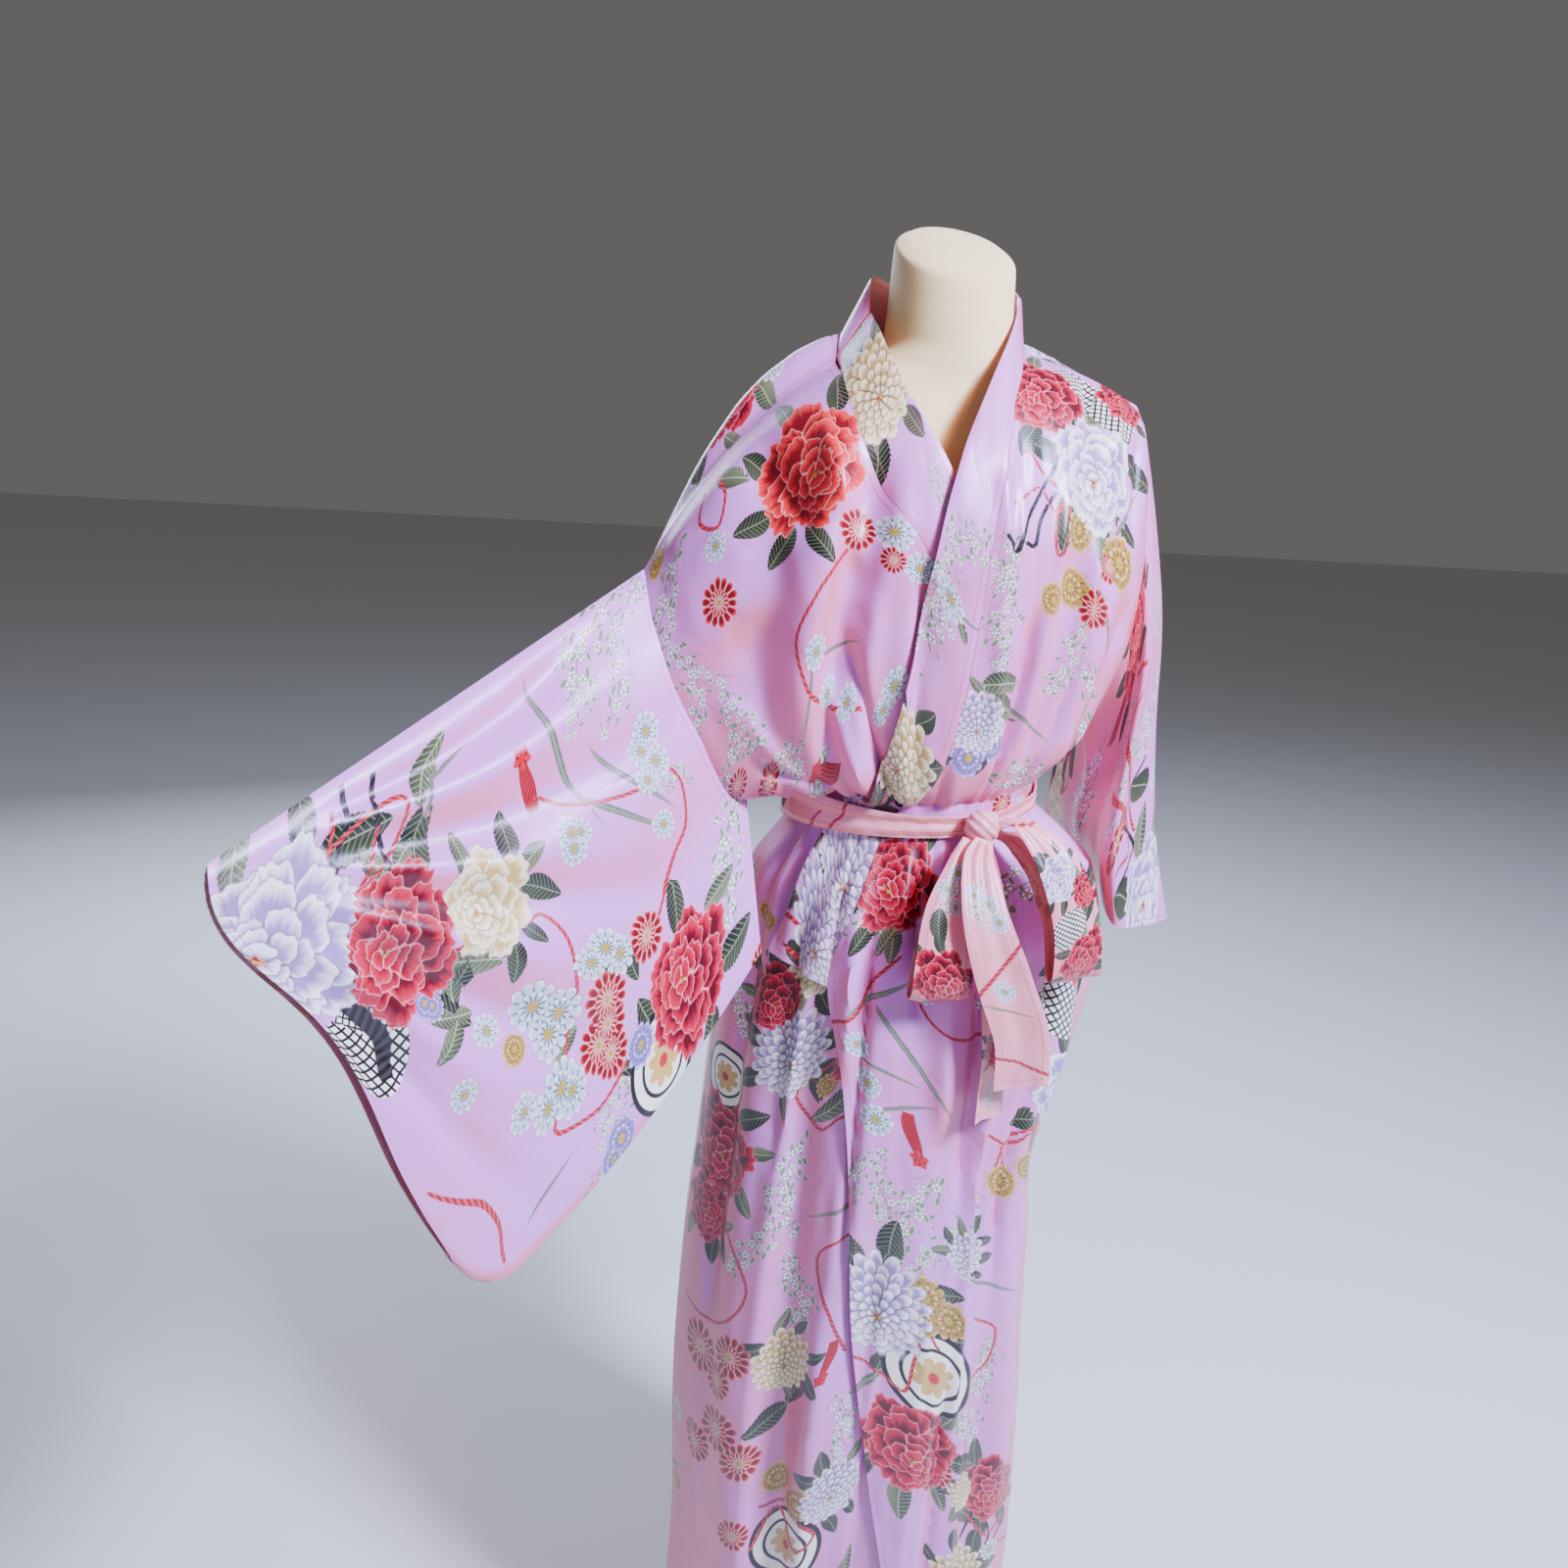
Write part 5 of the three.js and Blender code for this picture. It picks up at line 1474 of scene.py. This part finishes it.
def steelMaterial(name):
    board = Board(name)
    place = board.geometry("Position")
    brushed = board.noise(board.vectors("MULTIPLY", place, (300.0, 300.0, 12.0)), 1.0, 3.0)
    smudge = board.noise(place, 18.0, 3.0)
    tone = smudge.ramp(0.4, 0.8).mix("b9bbbe", "9b9da1")
    rough = 0.26 + 0.16 * smudge + 0.06 * brushed
    normal = board.bump(0.12, 0.0004, brushed)
    return board.finish(Base_Color=tone, Metallic=1.0, Roughness=rough, Normal=normal)


printedSatin = satinMaterial("printed satin", satin)
# The belt satin carries the same painted light and shade, with its own salmon ground and painted lavender
# sheen.
beltSatin = satinMaterial("belt satin", dict(satin, ground="ee8280", paintedSheen="ee9cae"))
formCover = coverMaterial("form cover", "f2e4ae", "ecd292", 0.85)
steel = steelMaterial("stand steel")
print("materials ready")

# What is printed on each panel: how much is scattered over it, and what is placed one by one.
prints = {
    "back_panel": (1.15, """
coralPeony .16 .62 118 10; lavenderPeony .24 .3 105 60; drum .52 .66 110; redPeony .56 .56 112 40; creamMum
.4 .24 90; lavenderMum .74 .36 105; red 1.9, .2 .62, .26 .7, .31 .6, .36 .66, .4 .78; red 1.9, .44 .5, .5
.42, .57 .48, .62 .38, .7 .44; black 2.4, .66 .8, .72 .72, .78 .78, .85 .7
"""),
    "right_front": (.32, """
coralPeony .065 .22 116 20; redMum .117 .17 42; whiteDaisy .123 .075 38; redMum .142 .12 26; whiteDaisy .15
.05 32, .18 .49 28, .21 .5 24, .215 .44 26, .212 .28 30, .224 .33 24; spray .14 .95 100 -100, .2 .8 96 -80,
.215 .9 88 -110, .24 .74 70 -60; redMum .25 .83 28, .235 .95 26; blade .185 .42 60 150, .205 .56 70 60;
paleLeaf .032 .5 44 130; redPeony .43 .78 72; lavenderMum .462 .7 92; redPeony .545 .93 106, .6 .96 72 60;
drum .5 .95 70; creamMum .395 .62 84; spray .56 .66 120 -97, .6 .76 110 -110, .64 .62 120 -100; redMum .7
.91 58, .685 .79 50, .712 .83 42, .745 .82 54, .762 .74 50, .772 .9 48; creamMum .683 .64 74; tassel .672 .5
52 80; spray .725 .46 110 -90; lavenderMum .77 .46 70; goldDaisy .785 .56 44, .775 .62 40; drum .825 .58 96
20; redPeony .88 .5 104; leaf .7 .58 50 60, .73 .68 54 20; red 1.9, .13 .27, .145 .4, .17 .53, .2 .55, .218
.5, .222 .42; red 1.9, .02 .62, .04 .66, .055 .6, .04 .54, .022 .56; red 1.9, .45 .46, .468 .58, .49 .66,
.51 .58, .5 .48, .53 .4; red 1.9, .6 .86, .63 .76, .66 .8, .675 .9, .67 .99; red 1.9, .575 .44, .6 .56, .64
.5, .66 .46; red 2.2, .8 .66, .79 .58, .805 .5, .82 .55, .8 .62, .83 .7
"""),
    "left_front": (.32, """
redPeony .04 .12 94 30; lavenderPeony .08 .47 112; goldDaisy .122 .4 40, .157 .41 40, .165 .31 32; redMum
.168 .53 38, .14 .6 32; goldDaisy .136 .66 54; lattice .024 .36 76, .034 .62 70 40; redPeony .015 .72 60;
spray .155 .11 104 -89, .188 .1 96 -84; lavenderMum .232 .09 60; lavenderDaisy .254 .08 38, .246 .16 32;
paleLeaf .214 .15 50 -20, .223 .19 48 20; blade .232 .3 80 10; spray .2 .46 90 -60; blade .18 .62 70 60;
redPeony .345 .11 96 60; paleLeaf .375 .12 46 90; whiteDaisy .445 .05 30, .47 .07 30, .492 .09 34; blade
.463 .13 70 10, .487 .17 70 -20; tassel .512 .19 62 92; spray .565 .2 130 -80, .552 .1 110 -84, .585 .28 110
-60, .535 .06 90 -70; lavenderMum .625 .09 118; leaf .596 .11 52 -67; goldDaisy .624 .24 50, .643 .33 46,
.64 .22 40; drum .682 .27 112 10; redPeony .733 .17 116; redMum .765 .28 42; lavenderMum .6 .42 56; spray
.59 .44 110 -90; goldDaisy .556 .58 42, .548 .68 36; lavenderPeony .5 .78 104; lattice .434 .7 84 20;
redPeony .39 .78 90, .8 .56 84; leaf .815 .44 50 20; creamMum .79 .42 52, .86 .36 80; spray .7 .56 100 -90;
blade .63 .55 80 20; red 1.7, .08 .1, .092 .2, .1 .3, .094 .38, .106 .4, .104 .31; red 1.7, .104 .3, .118
.26, .136 .29, .13 .33, .106 .31; red 1.7, .07 .22, .085 .24, .1 .3, .112 .27, .1 .16, .108 .08; black 2.1,
.07 .34, .076 .27, .095 .2, .12 .13, .135 .1, .132 .07; black 2.1, .088 .36, .096 .28, .115 .2, .134 .18,
.133 .14; red 1.9, .432 0, .425 .07, .402 .13, .39 .16; red 1.9, .405 .24, .43 .28, .44 .36, .438 .48; red
1.9, .52 .5, .526 .6, .516 .66, .526 .56, .545 .6, .55 .54, .528 .56; red 2, .665 .02, .68 .08, .69 .15,
.665 .19, .648 .24, .66 .28; red 1.9, .655 .5, .668 .58, .69 .56, .7 .48; black 2, .83 .42, .815 .5, .84
.56, .86 .5, .84 .64; red 1.9, .82 .46, .84 .54, .83 .62, .85 .6, .86 .7
"""),
    "right_sleeve": (.12, """
spray .2 .048 130 40, .155 .07 120 30, .045 .04 90 60, .24 .08 90 55; tassel .445 .1 64 -175; whiteDaisy .12
.162 34, .15 .17 30, .128 .19 32, .172 .196 26; blade .21 .185 110 -30, .27 .2 120 -40; spray .13 .215 70
-50; whiteDaisy .402 .17 32, .418 .186 30, .38 .18 24, .19 .238 28; paleLeaf .71 .082 44 -100, .615 .036 54
-130; blade .63 .048 70 -150, .59 .046 66 -100; redPeony .8 .14 110; creamPeony .635 .165 84; lavenderPeony
.955 .09 130, .95 .935 110; lattice .96 .205 88 30, .925 .178 70; redPeony .25 .408 116 40; redMum .35 .306
42, .478 .327 48, .522 .362 46, .492 .352 42, .505 .385 42; whiteDaisy .63 .268 46, .585 .29 44, .622 .306
42, .492 .272 34, .445 .272 38, .42 .292 36, .735 .256 28, .64 .363 44, .616 .376 38, .69 .372 34, .735 .35
28; paleLeaf .6 .332 36 60; leaf .405 .315 40 -20, .385 .395 56 150, .455 .3 34; lavenderDaisy .425 .405 36;
drum .375 .452 92; spray .56 .47 110 -120, .52 .435 90 -150; lavenderDaisy .535 .478 40, .57 .488 34, .83
.196 26, .812 .205 24, .795 .192 24; paleLeaf .79 .225 44 120, .765 .205 44 20, .815 .235 44 70; blade .74
.445 60 -100; redPeony .3 .62 110; drum .62 .7 90; creamMum .52 .86 80; lavenderMum .72 .6 86; spray .42 .74
120 60, .7 .8 120 20; redMum .2 .78 46, .24 .74 40, .82 .72 44; coralPeony .86 .8 96 20; creamPeony .12 .7
80; spray .24 .86 130 20; lavenderPeony .16 .9 92; whiteDaisy .4 .8 38, .44 .84 32, .6 .6 36; goldDaisy .55
.76 38, .58 .79 32; redPeony .7 .92 86; spray .86 .62 120 30; blade .48 .56 120 40; red 1.9, .425 .125, .375
.152, .285 .176, .2 .2, .13 .2, .1 .222, .125 .246, .2 .262, .26 .28, .3 .3; red 2, .825 .046, .745 .036,
.68 .047, .715 .068, .79 .082, .855 .088; red 2, .825 .046, .87 .04, .905 .054, .88 .064, .825 .047, .8
.026; red 2, .74 .052, .775 .068, .83 .09, .87 .108; black 2.8, .775 .012, .785 .035, .835 .062, .85 .09,
.87 .108; black 2.8, .715 .016, .735 .045, .755 .072, .775 .1, .79 .115; red 1.9, .775 .175, .717 .178, .65
.19, .575 .203, .53 .213, .51 .236, .52 .262, .555 .3, .6 .335, .62 .36; red 1.9, .44 .398, .5 .412, .58
.418, .66 .41, .69 .392, .65 .376; red 2, .965 .37, .93 .38, .895 .402, .885 .43, .9 .462; black 7.5, .95
.14, .935 .165, .925 .195, .945 .225; red 1.9, .3 .66, .4 .7, .48 .64, .6 .66, .7 .72
"""),
    "left_sleeve": (.45, """
tassel .168 .385 60 -90; spray .42 .34 90 -100, .589 .246 90 -89, .5 .1 90 -89; lavenderPeony .93 .13 104;
leaf .858 .12 50 40, .66 .12 46 -60; redPeony .06 .3 80; spray .26 .12 90 -89; creamMum .78 .62 80; redPeony
.45 .72 100; red 1.8, .22 .3, .3 .22, .42 .26, .6 .2, .76 .14; red 1.8, .6 .3, .7 .2, .8 .16, .84 .22; black
2, .62 .12, .72 .2, .8 .14, .86 .2; red 1.8, .3 .6, .45 .66, .6 .58, .74 .66
"""),
    "collar_right": (0, """
creamMum .105 .5 100; leaf .03 .45 60 -60, .052 .3 46 -120; spray .26 .7 50 -60, .6 .5 80 -90
"""),
    "collar_back": (.4, ""),
    "collar_left": (0, """
spray .335 .45 84 -104, .405 .66 84 -90, .455 .72 96 -92; blade .425 .45 60 -165; whiteDaisy .415 .6 30;
paleLeaf .44 .3 24 -60; creamMum .632 .78 88; leaf .64 .25 34 40; drum .684 .3 50; lavenderMum .835 .3 112;
leaf .855 .62 56 -100, .875 .7 50 -40; lavenderMum .935 .4 84 60; red 1.9, .93 1, .94 .6, .935 .4; red 1.9,
.975 .75, .985 .3, .975 .05
"""),
    "belt_wrap": (0, """
leaf .5 .01 26 60; goldDaisy .4 .62 22; redMum .6 .8 26; red 1.7, 0 .135, .5 .125, 1 .115; red 1.7, .6 .095,
1 .088; red 1.7, 0 .55, .5 .57, 1 .56
"""),
    "bow_left_loop": (0, """
redPeony .375 .55 62; whiteDaisy .13 .45 20, .17 .3 20, .2 .6 18; leaf .25 .35 34 70; spray .19 .5 50 90;
redPeony .75 .5 60
"""),
    "bow_right_loop": (0, """
lavenderPeony .24 .35 44; leaf .2 .15 30 60; lattice .34 .3 44; redPeony .4 .62 50; leaf .31 .75 34 120;
redPeony .28 .85 34; creamMum .74 .5 50; red 1.7, .06 .1, .09 .5, .11 .9
"""),
    "belt_long_tail": (0, """
whiteDaisy .3 .3 18, .34 .62 20, .4 .75 20; spray .33 .45 56 90; whiteDaisy .62 .45 22; blade .68 .4 46 10;
red 1.8, .5 .98, .54 .6, .6 .02; red 1.8, .86 0, .9 .45, .95 1
"""),
    "belt_second_tail": (0, """
redPeony .75 .5 36; spray .9 .5 40 90; red 1.7, .5 0, .54 1
"""),
}
# Each cloth piece: what makes it; the width, length and area of its cut, in metres; how it is held; and
# what it rests on.
cloths = {
    "back_panel": ((backPanel,), (0.62, 1.50, 0.80), "hung", ["dress_form"]),
    "right_front": ((frontPanel, "under", underEdge, -1), (0.38, 1.48, 0.47), "hung", ["dress_form"]),
    "left_front": ((frontPanel, "over", overEdge, 1), (0.36, 1.48, 0.44), "hung", ["dress_form"]),
    "right_sleeve": ((rightSleeveMesh,), (0.76, 0.46, 0.33), "stretched", ["right_front", "back_panel"]),
    "left_sleeve": ((leftSleeveMesh,), (0.48, 0.42, 0.14), "hung", ["left_front", "back_panel"]),
    "collar_right": ((frontBand, bands["right"]), (0.060, 0.63, 0.036), "hung", ["right_front"]),
    "collar_back": ((neckBand,), (0.062, 0.19, 0.0115), "hung", ["back_panel"]),
    "collar_left": ((frontBand, bands["left"]), (0.060, 0.63, 0.034), "hung", ["left_front"]),
    "belt_wrap": ((beltWrap,), (0.030, 0.70, 0.021), "gathered", ["left_front", "back_panel"]),
    "bow_left_loop": ((bowStrip, 1, True), (0.053, 0.29, 0.0145), "gathered", ["belt_knot"]),
    "bow_right_loop": ((bowStrip, 2, True), (0.053, 0.31, 0.0155), "gathered", ["belt_knot"]),
    "belt_long_tail": ((bowStrip, 3, False), (0.053, 0.24, 0.0115), "hung", ["belt_knot"]),
    "belt_second_tail": ((bowStrip, 4, False), (0.042, 0.26, 0.0095), "hung", ["belt_knot"]),
}
plain = {
    "belt_knot": (knotRings(), beltSatin),
    "dress_form": (formRings(), formCover),
    "stand_pole": (turnedRings(stand["pole"]), steel),
    "stand_base": (turnedRings(stand["base"]), steel),
}
# The solids that each sheet stands for, where they aren't one of its own name.
standsFor = {
    "back_panel": ("back_bodice", "back_skirt"),
    "right_front": ("right_front_bodice", "right_front_skirt"),
    "left_front": ("left_front_bodice", "left_front_skirt"),
    "left_sleeve": ("left_sleeve_front", "left_sleeve_back"),
}
made = {}
for seed, name in enumerate(cloths, 1):
    maker, *facts = cloths[name][0]
    sheet = maker(name, *facts)
    piece = sheet["piece"]
    sheet["area"] = sum(face.area for face in piece.data.polygons) / 2
    layOut(sheet, prints[name], seed)
    piece.data.materials.append(beltSatin if name.startswith(("belt", "bow")) else printedSatin)
    made[name] = piece
    print(name, round(sheet["area"], 3), "square metres")

for name, (rings, material) in plain.items():
    made[name] = closedBall(name, rings)
    made[name].data.materials.append(material)
leavePlain(made["belt_knot"].data)

for name, piece in made.items():
    piece.name = name + "_visual"
    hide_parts(*standsFor.get(name, (name,)))
    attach(piece, "root")
    if name in cloths:
        (width, length, area), held, rests = cloths[name][1:]
        under = [made.get(other, other) for other in rests]
print("pieces ready")

lights = {
    # place, what it faces, width and height in metres, power in watts, colour
    "window": ((1.5, -1.7, 3.0), (-0.05, 0, 1.1), 0.6, 0.6, 360, "c6d8ff"),
    "lamp": ((0.45, -0.85, 2.1), (0, -0.1, 1.25), 0.3, 0.3, 14, "ff9c70"),
    "left": ((-2.6, -1.9, 2.2), (-0.1, 0, 1.1), 1.6, 1.8, 2, "ffdcc8"),
    "back": ((-0.9, 3.0, 2.6), (0, 0, 1.1), 1.6, 1.6, 170, "d4deff"),
}
studio = {
    "air": (1.0, 0.95, 0.94, 1), "glow": 0.13,
    "floorHalf": 30, "floor": ((0.72, 0.72, 0.71, 1), (0.76, 0.76, 0.75, 1)),
}


def setLights():
    for name, (place, target, width, height, power, colour) in lights.items():
        data = bpy.data.lights.new(name, "AREA")
        data.shape, data.size, data.size_y = "RECTANGLE", width, height
        data.energy, data.color = power, paint(colour)
        lamp = addObject(name, data)
        lamp.location = place
        lamp.rotation_euler = (Vector(target) - Vector(place)).to_track_quat("-Z", "Y").to_euler()
    world = bpy.data.worlds.new("studio")
    world.use_nodes = True
    background = world.node_tree.nodes["Background"]
    background.inputs["Color"].default_value = studio["air"]
    background.inputs["Strength"].default_value = studio["glow"]
    bpy.context.scene.world = world


def layFloor():
    far = studio["floorHalf"]
    mesh = bpy.data.meshes.new("floor")
    mesh.from_pydata([(-far, -far, 0), (far, -far, 0), (far, far, 0), (-far, far, 0)], [], [(0, 1, 2, 3)])
    board = Board("floor")
    tone = board.noise(board.geometry("Position"), 3.0).mix(*studio["floor"])
    mesh.materials.append(board.finish(Base_Color=tone, Roughness=0.9))
    addObject("floor", mesh)


setLights()
layFloor()
print("studio ready")
